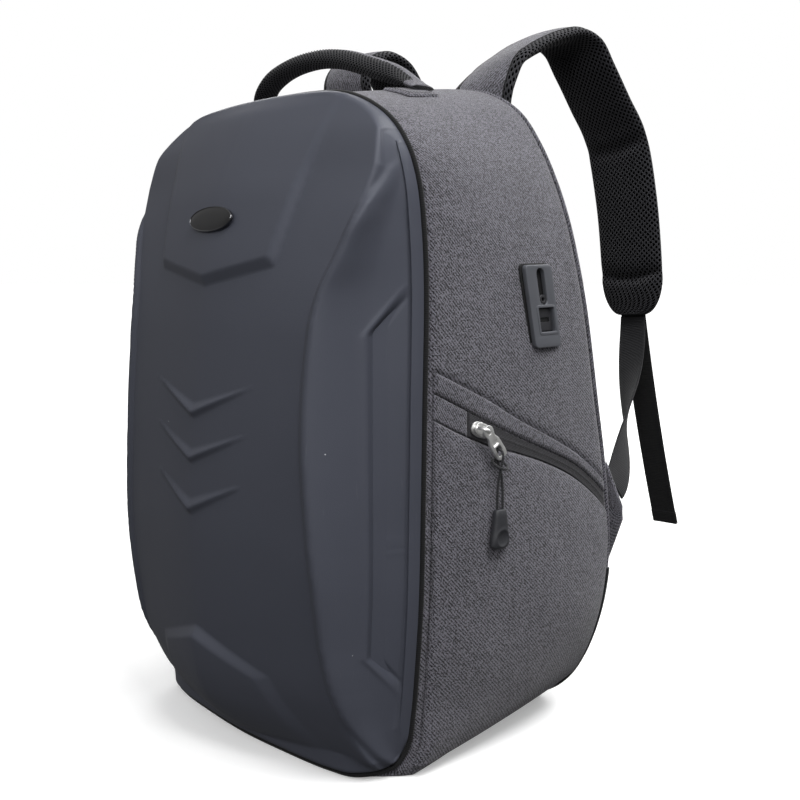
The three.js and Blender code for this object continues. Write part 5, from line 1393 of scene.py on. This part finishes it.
def moulded_plastic(name, dark, light, roughness):
    """Fine grained plastic with a slow change of shade and paler rubbed patches."""
    finish = new_finish(name, roughness, specular=0.45)
    worn(finish, 55.0, 5.0, dark, light, roughness - 0.08, roughness + 0.08)
    relief(finish, grain(finish, 1900.0, 2.0), 0.00006)
    return finish


def long_slot(x, low, high, width, grow):
    """Outline of a slot with round ends, grown all round."""
    radius = width / 2 + grow
    top = arc_points(x, high - width / 2, radius, radius, np.linspace(0, np.pi, 13))
    return top + arc_points(x, low + width / 2, radius, radius, np.linspace(np.pi, 2 * np.pi, 13))


def socket_ring(radius, sides):
    return arc_points(*SOCKET_MIDDLE, radius, radius, full_turn(sides))


plate_finish = moulded_plastic("grey_plate_plastic", (0.072, 0.075, 0.086), (0.092, 0.096, 0.109), 0.45)
# The gasket's near-black is painted shade round the plate. The same black lies at the socket's floor and
# behind the panel's slot.
gasket_and_shade_black = moulded_plastic("black_gasket_and_painted_shade", (0.003, 0.003, 0.0035), (0.008, 0.008, 0.009), 0.6)
socket_finish = moulded_plastic("dark_socket", (0.018, 0.018, 0.021), (0.030, 0.030, 0.034), 0.4)
bevels = 2 * PLATE_BEVEL
plate_cuts = [
    rounded_box(0, 0, PLATE_WIDTH - bevels, PLATE_HEIGHT - bevels, PLATE_CORNER),
    long_slot(SLOT_X, SLOT_LOW, SLOT_HIGH, SLOT_WIDTH, PLATE_BEVEL),
    rounded_box(*WINDOW_MIDDLE, WINDOW_WIDTH + bevels, WINDOW_HEIGHT + bevels, 1.3),
]
window_rim = [rounded_box(*WINDOW_MIDDLE, 18.2, 20.0, 1.6), rounded_box(*WINDOW_MIDDLE, 15.9, 17.7, 1.2)]
plate_parts = [
    (cut_plate(plate_cuts, PLATE_THICKNESS, PLATE_BEVEL), 0),
    (cut_plate(window_rim, 0.7, 0.3, PLATE_THICKNESS - 0.35), 0),
    # The gasket reaches out furthest on the left, where its black band is painted shade along the plate's
    # side.
    (cut_plate([rounded_box(-0.6, 0, 27.6, 58.4, 3.2)], 1.2, 0.35, -1.15), 1),
]
plate = assembled("port_plate_plastic", plate_parts, [plate_finish, gasket_and_shade_black], PLATE_PLACE)
settle(plate, "port_plastic", "port_plate")
socket_parts = [
    (cut_plate([socket_ring(SOCKET_RADIUS, 40), socket_ring(SOCKET_BORE, 32)], 2.8, 0.4, SOCKET_BASE), 0),
    (cut_plate([socket_ring(SOCKET_FLOOR, 32)], 0.8, 0.15, SOCKET_BASE), 1),
]
socket = assembled("round_socket", socket_parts, [socket_finish, gasket_and_shade_black], PLATE_PLACE)
settle(socket, "port_dark", "port_button")
panel_outline = rounded_box(*WINDOW_MIDDLE, 13.1, 14.9, 0.9)
panel_parts = [
    (cut_plate([panel_outline, rounded_box(*WINDOW_MIDDLE, 9.6, 3.6, 0.6)], 1.0, 0.25, SOCKET_BASE), 0),
    (cut_plate([panel_outline], 0.4, 0.1, 0.1), 1),
]
socket_panel = assembled("socket_panel", panel_parts, [socket_finish, gasket_and_shade_black], PLATE_PLACE)
settle(socket_panel, "port_dark", "port_insert")

# Carry handle: a foam roll in black air mesh with a strip of twill along its back, its ends sewn flat.
# A short cloth simulation fills the roll between the two seams of the strip.
HANDLE_PATH = [
    (93, 50, 469.3), (75, 50.5, 475), (40, 48.5, 487.5), (8, 47, 497), (-20, 44.5, 500), (-52, 42, 497),
    (-73, 41, 490), (-88, 43, 480.5), (-95, 50, 469.3),
]
HANDLE_SIZE, HANDLE_END_SIZE, HANDLE_END_SHARE, HANDLE_END_LIFT = (23.0, 14.0), (20.0, 4.5), 0.2, 2.5
HANDLE_ROWS, HANDLE_SIDES = 121, 48
HANDLE_MIDDLE = HANDLE_ROWS // 2
HANDLE_SEAMS, HANDLE_PINCH, HANDLE_PINCH_WIDTH = (0.30, 1.75), 0.05, 0.09
HANDLE_TWILL_END, HANDLE_STITCH_LIFT, HANDLE_STITCH_ENDS = 0.05, 0.5, 8
HANDLE_SEAM_HOLD, HANDLE_PRESSURE, HANDLE_MOST = 0.12, 1.5, 1.2
WRINKLE, WRINKLE_TURNS, WRINKLE_WANDER, WRINKLE_WANDER_TURNS, WRINKLE_FULL = 0.35, 260, 1.7, 31, 7
HANDLE_LEAN = unit(np.array([0.0, 1.0, 0.2]))
TAB_S = 0.4
handle_mesh = air_mesh("close_air_mesh", 0.0032, (0.0006, 0.0006, 0.0008), (0.0145, 0.0145, 0.0178))


def along_line(line, number):
    """Directions of a smooth line at some point numbers."""
    return unit(line(np.minimum(number + 1e-3, line.last)) - line(np.maximum(number - 1e-3, 0)))


def square_off(across, along):
    """Directions turned square to the run of a line."""
    return unit(across - along * np.sum(across * along, -1, keepdims=True))


def top_row_at(x, s):
    """Outline row at which the top wall reaches a distance from the middle."""
    return row_where(lambda row: wall_point(row, s)[..., 0] < x, np.shape(x), 0, TOP_CORNER_ROW)


def ring_lengths(rings):
    """Length round each ring of points, from its first point back to it."""
    steps = np.linalg.norm(np.diff(rings, axis=-2, append=rings[..., :1, :]), axis=-1)
    return np.concatenate([np.zeros_like(steps[..., :1]), np.cumsum(steps, axis=-1)], axis=-1)


def band_map(run, across):
    """Weave map of a piece from the lengths along it and across or round it, in mm."""
    uv = np.stack(np.broadcast_arrays(run[:, None], across), -1) * MM
    return np.concatenate([uv, uv[-1:]])


handle_line = smooth_line(HANDLE_PATH)
fine_numbers = np.linspace(0, handle_line.last, 4001)
fine_run = lengths_along(handle_line(fine_numbers))
handle_numbers = np.interp(np.linspace(0, fine_run[-1], HANDLE_ROWS), fine_run, fine_numbers)
handle_at, handle_along = handle_line(handle_numbers), along_line(handle_line, handle_numbers)
handle_t = np.linspace(0, 1, HANDLE_ROWS)
to_end = np.minimum(handle_t, 1 - handle_t)
full = eased(to_end / HANDLE_END_SHARE)[:, None]
handle_across = square_off(np.array([0.0, 1.0, 0.0]) * (1 - full) + HANDLE_LEAN * full, handle_along)
end_wall = wall_point(top_row_at(np.abs(handle_at[[0, -1], 0]), TAB_S), TAB_S)
end_drop = handle_at[[0, -1], 2] - HANDLE_END_SIZE[1] / 2 - end_wall[:, 2] - HANDLE_END_LIFT
handle_at[:, 2] -= np.where(handle_t < 0.5, end_drop[0], end_drop[1]) * (1 - full[:, 0]) ** 2
handle_up = np.cross(handle_along, handle_across)
handle_up = handle_up * np.sign(handle_up[HANDLE_MIDDLE, 2])
half_x, half_y = ((end * (1 - full) + whole * full) / 2 for end, whole in zip(HANDLE_END_SIZE, HANDLE_SIZE))
turn = full_turn(HANDLE_SIDES)
to_seam = np.minimum.reduce([np.abs(turn - seam_turn) for seam_turn in HANDLE_SEAMS])
pinch = 1 - HANDLE_PINCH * hump(to_seam, 0, HANDLE_PINCH_WIDTH)
ring = handle_at[:, None] + handle_across[:, None] * (half_x * np.cos(turn) * pinch)[..., None]
ring += handle_up[:, None] * (half_y * np.sin(turn) * pinch)[..., None]
wander = WRINKLE_WANDER * np.sin(handle_t * WRINKLE_WANDER_TURNS)
wrinkle = WRINKLE * np.sin(handle_t * WRINKLE_TURNS + wander)[:, None]
wrinkle = wrinkle * np.clip(1 - full, 0, 1) * np.clip(half_y / WRINKLE_FULL, 0, 1)
ring += handle_up[:, None] * (wrinkle * np.sin(turn))[..., None]
handle_uv = band_map(lengths_along(handle_at), ring_lengths(ring[HANDLE_MIDDLE]))
column_turn = turn + np.pi / HANDLE_SIDES
on_strip = (column_turn > HANDLE_SEAMS[0]) & (column_turn < HANDLE_SEAMS[1])
handle_kinds = (on_strip[None, :] | (to_end < HANDLE_TWILL_END)[:-1, None]).astype(int)
handle = ring_solid("carry_handle_roll", ring, [handle_mesh, grey_twill], handle_uv, strips=handle_kinds,
                    sharp=math.radians(80))
handle_held = np.maximum(hump(to_seam, 0, HANDLE_SEAM_HOLD)[None, :], 1 - full)
blown_up(handle, handle_held, HANDLE_PRESSURE, HANDLE_MOST)
finer(handle)
settle(handle, "black_mesh", "carry_handle")
handle_seams = []
sewn_part = slice(HANDLE_STITCH_ENDS, -HANDLE_STITCH_ENDS)
for seam_turn in HANDLE_SEAMS:
    aside, upward = math.cos(seam_turn), math.sin(seam_turn)
    seam = handle_at + (handle_across * half_x * aside + handle_up * half_y * upward) * (1 - HANDLE_PINCH)
    out = unit(handle_across * aside / half_x + handle_up * upward / half_y)
    handle_seams.append(((seam + out * HANDLE_STITCH_LIFT)[sewn_part], out[sewn_part]))
sewn_row("handle_stitches", "black_trim", handle_seams, 3.2, (2.2, 0.6, 0.5))

# Handle tabs: a folded patch of twill round each end of the handle, sewn flat on the top along its edges.
# A double row of stitches holds it.
TAB_HALF_WIDTH, TAB_X, TAB_SHARE, TAB_THICKNESS, TAB_TURNED = 13.0, 90.0, 30.0 / 280.0, 1.8, 1.4
TAB_STITCH_INSETS, WALL_HALF_DEPTH = (2.4, 4.6), 140.0
tab_s = TAB_S + TAB_SHARE * np.linspace(-1, 1, 31)[None, :]
tab_row = top_row_at(TAB_X + TAB_HALF_WIDTH * np.linspace(-1, 1, 27)[:, None], TAB_S)
tab_flat = wall_point(tab_row, tab_s, LAYER_GAP)
tab_thick = TAB_THICKNESS * turned_edge(border_distance(tab_flat), TAB_TURNED)
tab_top = wall_point(tab_row, tab_s, LAYER_GAP + tab_thick)
round_tab = np.linspace(0, 4, 161)
for side, sign in SIDES.items():
    mirror = (sign, 1, 1)
    tab = thick_cloth(f"handle_tab_{side}_twill", tab_top * mirror, tab_flat * mirror, grey_twill)
    settle(tab, "grey_fabric", f"handle_tab_{side}")
    lines = []
    for inset in TAB_STITCH_INSETS:
        s_corners = TAB_S + (TAB_SHARE - inset / WALL_HALF_DEPTH) * np.array([-1, -1, 1, 1, -1])
        x_corners = TAB_X + (TAB_HALF_WIDTH - inset) * np.array([-1, 1, 1, -1, -1])
        s_line, x_line = (np.interp(round_tab, range(5), corners) for corners in (s_corners, x_corners))
        rows = top_row_at(x_line, TAB_S)
        lines.append(wall_line(sign, s_line, rows, LAYER_GAP + TAB_THICKNESS + STITCH_LIFT))
    sewn_row(f"tab_stitches_{side}", "black_trim", lines, 2.7, (2.0, 0.5, 0.4))

# Shoulder straps: foam between twill on the outside and air mesh on the wearer's side, bound at the edges.
# A short cloth simulation fills each pad between its bound edges and the lines sewn across it.
STRAP_WIDTH, STRAP_ROOT_WIDTH = 62.0, 58.0
STRAP_THICKNESS, STRAP_ROOT_THICKNESS, STRAP_END_THINNING = 13.0, 6.0, 3.0
STRAP_PATHS = {
    "right": np.array([
        (72, 126.8, 475.5, -0.26), (72, 131, 483, 0), (72, 142, 493, 0.18), (72, 165, 507, 0.14),
        (72.5, 188.6, 518.5, 0.06), (74, 209, 524.5, 0), (76.5, 225.5, 519, 0), (79, 238, 502, 0),
        (82, 254, 478, 0), (87, 269, 451, 0), (94, 276.5, 400, 0), (98, 281, 342, 0), (100, 282, 306, 0),
    ]),
    "left": np.array([
        (-72, 126.8, 475.5, 0.26), (-74, 121, 486, 0), (-76, 117.5, 499, 0), (-76, 125, 513, 0),
        (-75, 143, 519.5, 0), (-75, 161, 514, 0), (-76, 176, 498, 0), (-78, 189, 478, 0), (-82, 200, 450, 0),
        (-90, 209, 400, 0), (-96, 213, 342, 0), (-99, 214, 306, 0),
    ]),
}
STRAP_CREASES, CREASE_WIDTH, CREASE_BOW = {"right": (9.1, 11.0), "left": (8.2, 10.0)}, 4.2, 5.0
STRAP_ROWS, STRAP_END_ROWS, STRAP_COLS = 171, 40, 25
STRAP_SEAM, STRAP_SEAM_WIDTH = 0.76, 0.06
STRAP_ROOT_SHARE, STRAP_TIP_SHARE, STRAP_TIP_LENGTH, STRAP_TIP_NARROWING = 0.2, 0.8, 32.0, 0.62
ROOT_REACH, ROOT_BELOW_EDGE = 34.0, 2.6
MESH_CREASE, CLOTH_CREASE, CLOTH_CROWN, CLOTH_SLACK, STRAP_SEAM_SUNK = 0.86, 0.35, 0.94, 0.6, 0.25
ROOT_SLACK, ROOT_SLACK_LENGTH, PAD_SLACK, PAD_SLACK_LENGTH, SLACK_HALF = 0.8, 55, 0.4, 90, 30
STRAP_CROWDING, STRAP_ROUND, STRAP_THIN_AT = 1.3, 2.6, 0.95
EDGE_HOLD, EDGE_HOLD_RUN, CREASE_HOLD, ROOT_HOLD_SHARE, END_HOLD_AT = 1.15, 0.28, 1.2, 0.06, 0.97
STRAP_PRESSURE, STRAP_MOST = 2.2, 3.0
back_edge = back_at(np.linspace(0, 4, 161))
strap_c = np.linspace(-1, 1, STRAP_COLS)
strap_c = np.sign(strap_c) * (1 - (1 - np.abs(strap_c)) ** STRAP_CROWDING)
strap_crown = np.sqrt(1 - np.abs(strap_c) ** STRAP_ROUND)
slack_c = strap_c[None, :] * SLACK_HALF
seam_cols = [int(np.argmin(np.abs(strap_c - mark))) for mark in (-STRAP_SEAM, STRAP_SEAM)]
strap_seams = {}
for side, path in STRAP_PATHS.items():
    line = smooth_line(path[:, :3])
    pad_part = np.linspace(0, line.last - 1, STRAP_ROWS - STRAP_END_ROWS)
    number = np.concatenate([pad_part, line.last - 1 + close_to_ends(STRAP_END_ROWS + 1, 0.6)[1:]])
    at, along = line(number), along_line(line, number)
    roll = np.interp(number, np.arange(line.last + 1), path[:, 3])
    across = square_off(np.stack([np.ones_like(roll), np.zeros_like(roll), roll], -1), along)
    inner_side = np.cross(along, across)
    t = number / line.last
    root, end = eased(t / STRAP_ROOT_SHARE), eased((t - STRAP_THIN_AT) / (1 - STRAP_THIN_AT))
    to_end = np.linalg.norm(at[-1] - at, axis=1)
    tip = 1 - STRAP_TIP_NARROWING * (1 - round_edge(to_end, STRAP_TIP_LENGTH))
    width = STRAP_ROOT_WIDTH + (STRAP_WIDTH - STRAP_ROOT_WIDTH) * root
    width = width * np.where(t > STRAP_TIP_SHARE, tip, 1)
    thickness = STRAP_ROOT_THICKNESS + (STRAP_THICKNESS - STRAP_ROOT_THICKNESS) * root
    thickness = thickness - STRAP_END_THINNING * end
    run = lengths_along(at)
    marks = np.interp(STRAP_CREASES[side], number, run)
    crease = np.maximum.reduce([hump(run, mark, CREASE_WIDTH) for mark in marks])
    run_rows = run[:, None]
    bowed = np.interp(run_rows - CREASE_BOW * (1 - strap_c ** 2), run, crease)
    slack = ripples(run_rows, slack_c, 31, ROOT_SLACK_LENGTH) * (1 - root[:, None]) * ROOT_SLACK
    slack = slack + ripples(run_rows, slack_c, 32, PAD_SLACK_LENGTH) * PAD_SLACK
    puffed = thickness[:, None] / 2 * strap_crown
    mesh_side = puffed * (1 - MESH_CREASE * bowed)
    cloth_side = puffed * CLOTH_CROWN * (1 - CLOTH_CREASE * bowed) + slack * strap_crown * CLOTH_SLACK
    middle = at[:, None] + across[:, None] * (width[:, None] / 2 * strap_c)[..., None]
    edge_height = np.interp(np.abs(middle[0, :, 0]), back_edge[:, 0], back_edge[:, 2])
    middle[..., 2] -= (1 - eased(run_rows / ROOT_REACH)) * (middle[0, :, 2] - edge_height + ROOT_BELOW_EDGE)
    cloth_points = middle - inner_side[:, None] * cloth_side[..., None]
    mesh_points = middle + inner_side[:, None] * mesh_side[..., None]
    strap_seams[side] = [cloth_points[:, col] + inner_side * STRAP_SEAM_SUNK for col in seam_cols]
    rings = np.concatenate([cloth_points, mesh_points[:, -2:0:-1]], axis=1)
    round_strap = ring_lengths(rings)
    uv = band_map(run, round_strap - round_strap[:, STRAP_COLS // 2, None])
    columns = np.arange(rings.shape[1])
    kinds = ((columns < seam_cols[0]) | (columns >= seam_cols[1])).astype(int)
    strap = ring_solid(f"shoulder_strap_{side}_pad", rings, [grey_twill, black_mesh], uv, strips=kinds,
                       sharp=math.radians(85))
    edge_hold = EDGE_HOLD - (1 - np.abs(strap_c)) / EDGE_HOLD_RUN
    root_hold, tip_hold = 1 - eased(t / ROOT_HOLD_SHARE), eased((t - END_HOLD_AT) / (1 - END_HOLD_AT))
    end_hold = np.maximum(root_hold, tip_hold)[:, None]
    cloth_hold = np.maximum(np.clip(np.maximum(edge_hold, bowed * CREASE_HOLD), 0, 1), end_hold)
    sewn_hold = np.maximum(cloth_hold, hump(np.abs(strap_c), STRAP_SEAM, STRAP_SEAM_WIDTH))
    strap_held = np.concatenate([sewn_hold, cloth_hold[:, -2:0:-1]], axis=1)
    blown_up(strap, strap_held, STRAP_PRESSURE, STRAP_MOST)
    finer(strap)
    settle(strap, "black_mesh", f"shoulder_strap_{side}")

# Strap seams: a fine black cord in the seam on the outside of each pad, where the mesh meets the twill.
# It runs from the root to the rounded end and back.
STRAP_CORD_RADIUS, STRAP_CORD_SIDES = 0.7, 8
for side, (inner_seam, outer_seam) in strap_seams.items():
    around = np.concatenate([inner_seam, outer_seam[::-1]])
    strap_seam = grown(f"strap_seam_{side}", [around], sweep_tree, Radius=STRAP_CORD_RADIUS * MM,
                       Sides=STRAP_CORD_SIDES, Finish=tape_finish)
    settle(strap_seam, "black_trim")

# Buckles: plain moulded adjusters behind the ends of the pads, two slots round a middle bar.
# They hold the webbing and are hidden from the front.
BUCKLE_WIDTH, BUCKLE_HEIGHT, BUCKLE_THICKNESS, BUCKLE_BEVEL = 34.0, 24.0, 4.0, 0.7
BUCKLE_SLOT, BUCKLE_BAR, BUCKLE_FRAME, BUCKLE_RISE, BUCKLE_INSET = 5.0, 4.0, 4.0, 16.0, 7.0
buckle_finish = moulded_plastic("buckle_plastic", (0.0045, 0.0045, 0.005), (0.012, 0.012, 0.013), 0.42)
bevels = 2 * BUCKLE_BEVEL
slot_y, slot_width = (BUCKLE_SLOT + BUCKLE_BAR) / 2, BUCKLE_WIDTH - 2 * BUCKLE_FRAME + bevels
buckle_cuts = [rounded_box(0, 0, BUCKLE_WIDTH - bevels, BUCKLE_HEIGHT - bevels, 2.6)]
buckle_cuts += [rounded_box(0, y, slot_width, BUCKLE_SLOT + bevels, 1.2) for y in (-slot_y, slot_y)]
buckle_parts = [(cut_plate(buckle_cuts, BUCKLE_THICKNESS, BUCKLE_BEVEL), 0)]
for x in np.arange(-9, 9.1, 3.0):
    rib = rounded_box(x, 0, 0.9, BUCKLE_BAR - 1.0, 0.3)
    buckle_parts.append((cut_plate([rib], 0.8, 0.25, BUCKLE_THICKNESS - 0.5), 0))
for side, path in STRAP_PATHS.items():
    x, y, z = path[-1, :3]
    y = y + STRAP_THICKNESS / 2 + LAYER_GAP + BUCKLE_THICKNESS
    place = Matrix.Translation((x - SIDES[side] * BUCKLE_INSET, y, z + BUCKLE_RISE))
    buckle = assembled(f"strap_buckle_{side}_plastic", buckle_parts, [buckle_finish],
                       place @ Matrix.Rotation(math.pi / 2, 4, "X"))
    settle(buckle, "buckle_plastic", f"strap_buckle_{side}")

# Strap webbing: ribbed grey webbing from the end of each pad down to the sewn wing, turned over on its way.
# It hangs slack with no buckle showing.
WEBBING_WIDTH, WEBBING_THICKNESS = 25.0, 1.7
WEBBING_START, WEBBING_FALL, WEBBING_INTO_WING = (0, 0, 1.8), (0, 0, 40.0), (-5.0, 3.6, -1.0)
WEBBING_SLACK, WEBBING_TURN_START = (-3.0, 16.0, 6.0), 0.1
WING_UPPER, WING_OUTER = np.array((155.0, 186.8, 196.0)), np.array((165.5, 187.6, 166.0))
WING_LOWER, WING_FOOT = np.array((166.0, 187.6, 156.0)), np.array((154.5, 186.8, 116.0))
BAND_HALF_PROFILE = np.array([
    (-1.0, 0.25), (-0.97, 0.8), (-0.9, 1.0), (-0.5, 1.0), (0.0, 1.0), (0.5, 1.0), (0.9, 1.0), (0.97, 0.8),
    (1.0, 0.25),
])


def webbing_finish(name, dark, light):
    """Ribbed webbing: fine ribs across it and broken warp yarns along it."""
    finish = new_finish(name, 0.72, specular=0.22, sheen=0.08)
    place = weave_of(finish)
    ribs, warp = waves(finish, place, 210.0, 0.5, "X"), waves(finish, place, 340.0, 0.8, "Y")
    yarn = blend(finish, 0.0, [(ribs, 0.55), (warp, 0.45)])
    fuzz = centred(finish, grain(finish, 160.0, 3.0, place))
    coloured(finish, blend(finish, yarn, [(fuzz, 0.5)]), dark, light)
    relief(finish, yarn, 0.0003)
    return finish


def flat_band(name, at, across, finish, swell):
    """Webbing with rounded edges along a line of points, with its lengths as its weave map."""
    along = unit(np.gradient(at, axis=0))
    across = square_off(across, along)
    square = np.cross(along, across)
    profile = np.vstack([BAND_HALF_PROFILE, BAND_HALF_PROFILE[::-1] * (1, -1)])
    aside = profile[:, 0] * WEBBING_WIDTH / 2
    thick = profile[:, 1] * (WEBBING_THICKNESS / 2 * np.broadcast_to(swell, (len(at),)))[:, None]
    rings = at[:, None] + across[:, None] * aside[None, :, None] + square[:, None] * thick[..., None]
    uv = band_map(lengths_along(at), np.append(aside, aside[0])[None, :])
    return ring_solid(name, rings, [finish], uv, sharp=math.radians(60))


def bent_line(controls, shares, samples):
    """Points at shares of the length of a Bezier curve, and that length."""
    last = len(controls) - 1
    u = np.linspace(0, 1, samples)[:, None]
    weights = (math.comb(last, k) * (1 - u) ** (last - k) * u ** k for k in range(last + 1))
    points = sum(weight * control for weight, control in zip(weights, controls))
    run = lengths_along(points)
    return np.stack([np.interp(shares * run[-1], run, points[:, k]) for k in range(3)], -1), run[-1]


def turned_about(v, axis, angle):
    angle = angle[:, None]
    lean = axis * np.sum(axis * v, -1, keepdims=True)
    return v * np.cos(angle) + np.cross(axis, v) * np.sin(angle) + lean * (1 - np.cos(angle))


grey_webbing = webbing_finish("grey_webbing", (0.0026, 0.0026, 0.0033), (0.0110, 0.0110, 0.0136))
across_wing = WING_UPPER - WING_OUTER
for side, path in STRAP_PATHS.items():
    mirror = (SIDES[side], 1, 1)
    low = (WING_UPPER + WING_OUTER) / 2 + WEBBING_INTO_WING
    top = path[-1, :3] * mirror - WEBBING_START
    t = np.linspace(0, 1, 97)
    at, length = bent_line([top, top - WEBBING_FALL, low + WEBBING_SLACK, low], t, 2001)
    along = unit(np.gradient(at, axis=0))
    across = square_off(np.array([1.0, 0, 0]), along)
    last_turn = math.atan2(across_wing @ np.cross(along[-1], across[-1]), across_wing @ across[-1])
    turning = last_turn * eased((t - WEBBING_TURN_START) / (1 - WEBBING_TURN_START))
    across = turned_about(across, along, turning)
    webbing = flat_band(f"strap_webbing_{side}_ribbed", at * mirror, across * mirror, grey_webbing, 1.0)
    settle(webbing, "grey_webbing", f"strap_webbing_{side}")

# Webbing tails: the free end below each buckle, black and close-woven, its cut end folded and sewn as a hem.
# It hangs a little away from the bag.
TAIL_FALL, TAIL_SWING, TAIL_EARLY_SWING, TAIL_ASIDE, TAIL_GAP = 186.0, 41.0, 0.3, 3.0, 1.0
HEM_AT, HEM_RUN, HEM_SWELL = 0.94, 0.006, 0.75
black_webbing = webbing_finish("black_webbing", (0.002, 0.002, 0.0025), (0.0125, 0.0125, 0.0135))
tail_shares = np.concatenate([np.linspace(0, 0.93, 60), np.linspace(0.935, 1.0, 16)])
tail_swell = 1 + HEM_SWELL * eased((tail_shares - HEM_AT) / HEM_RUN)
for side, path in STRAP_PATHS.items():
    x, y, z = path[-1, :3]
    y = y + STRAP_THICKNESS / 2 + LAYER_GAP + BUCKLE_THICKNESS / 2
    z = z + BUCKLE_RISE - BUCKLE_HEIGHT / 2 - TAIL_GAP
    at, length = bent_line(np.array([
        (x - SIDES[side] * BUCKLE_INSET, y, z),
        (x, y + TAIL_EARLY_SWING * TAIL_SWING, z - TAIL_FALL / 2),
        (x + SIDES[side] * TAIL_ASIDE, y + TAIL_SWING, z - TAIL_FALL),
    ]), tail_shares, 1001)
    tail = flat_band(f"webbing_tail_{side}_woven", at, np.array([1.0, 0, 0]), black_webbing, tail_swell)
    settle(tail, "black_webbing", f"webbing_tail_{side}")

# Sewn wings: a four-cornered piece of twill at each lower back edge that takes the end of the webbing.
# It is folded double and sewn flat, with its edges turned in.
WING_THICKNESS, WING_TURNED, WING_THINNEST = 3.0, 2.2, 0.12
UPPER_INTO_SEAM, FOOT_INTO_SEAM = (4.8, 0.6, -3.0), (3.0, 0.6, 0.0)
down_wing, over_wing = close_to_ends(29, 0.5)[:, None, None], close_to_ends(29, 0.5)[None, :, None]
wing_top = (WING_UPPER - UPPER_INTO_SEAM) * (1 - over_wing) + WING_OUTER * over_wing
wing_foot = (WING_FOOT - FOOT_INTO_SEAM) * (1 - over_wing) + WING_LOWER * over_wing
wing_flat = wing_top * (1 - down_wing) + wing_foot * down_wing
wing_thick = WING_THICKNESS / 2 * turned_edge(border_distance(wing_flat), WING_TURNED, WING_THINNEST)
wing_lift = np.array([0.0, 1.0, 0.0]) * wing_thick[..., None]
for side, sign in SIDES.items():
    wing_outside, wing_inside = ((wing_flat + lift) * (sign, 1, 1) for lift in (wing_lift, -wing_lift))
    wing = thick_cloth(f"anchor_tab_{side}_twill", wing_outside, wing_inside, grey_twill)
    settle(wing, "grey_fabric", f"anchor_tab_{side}")
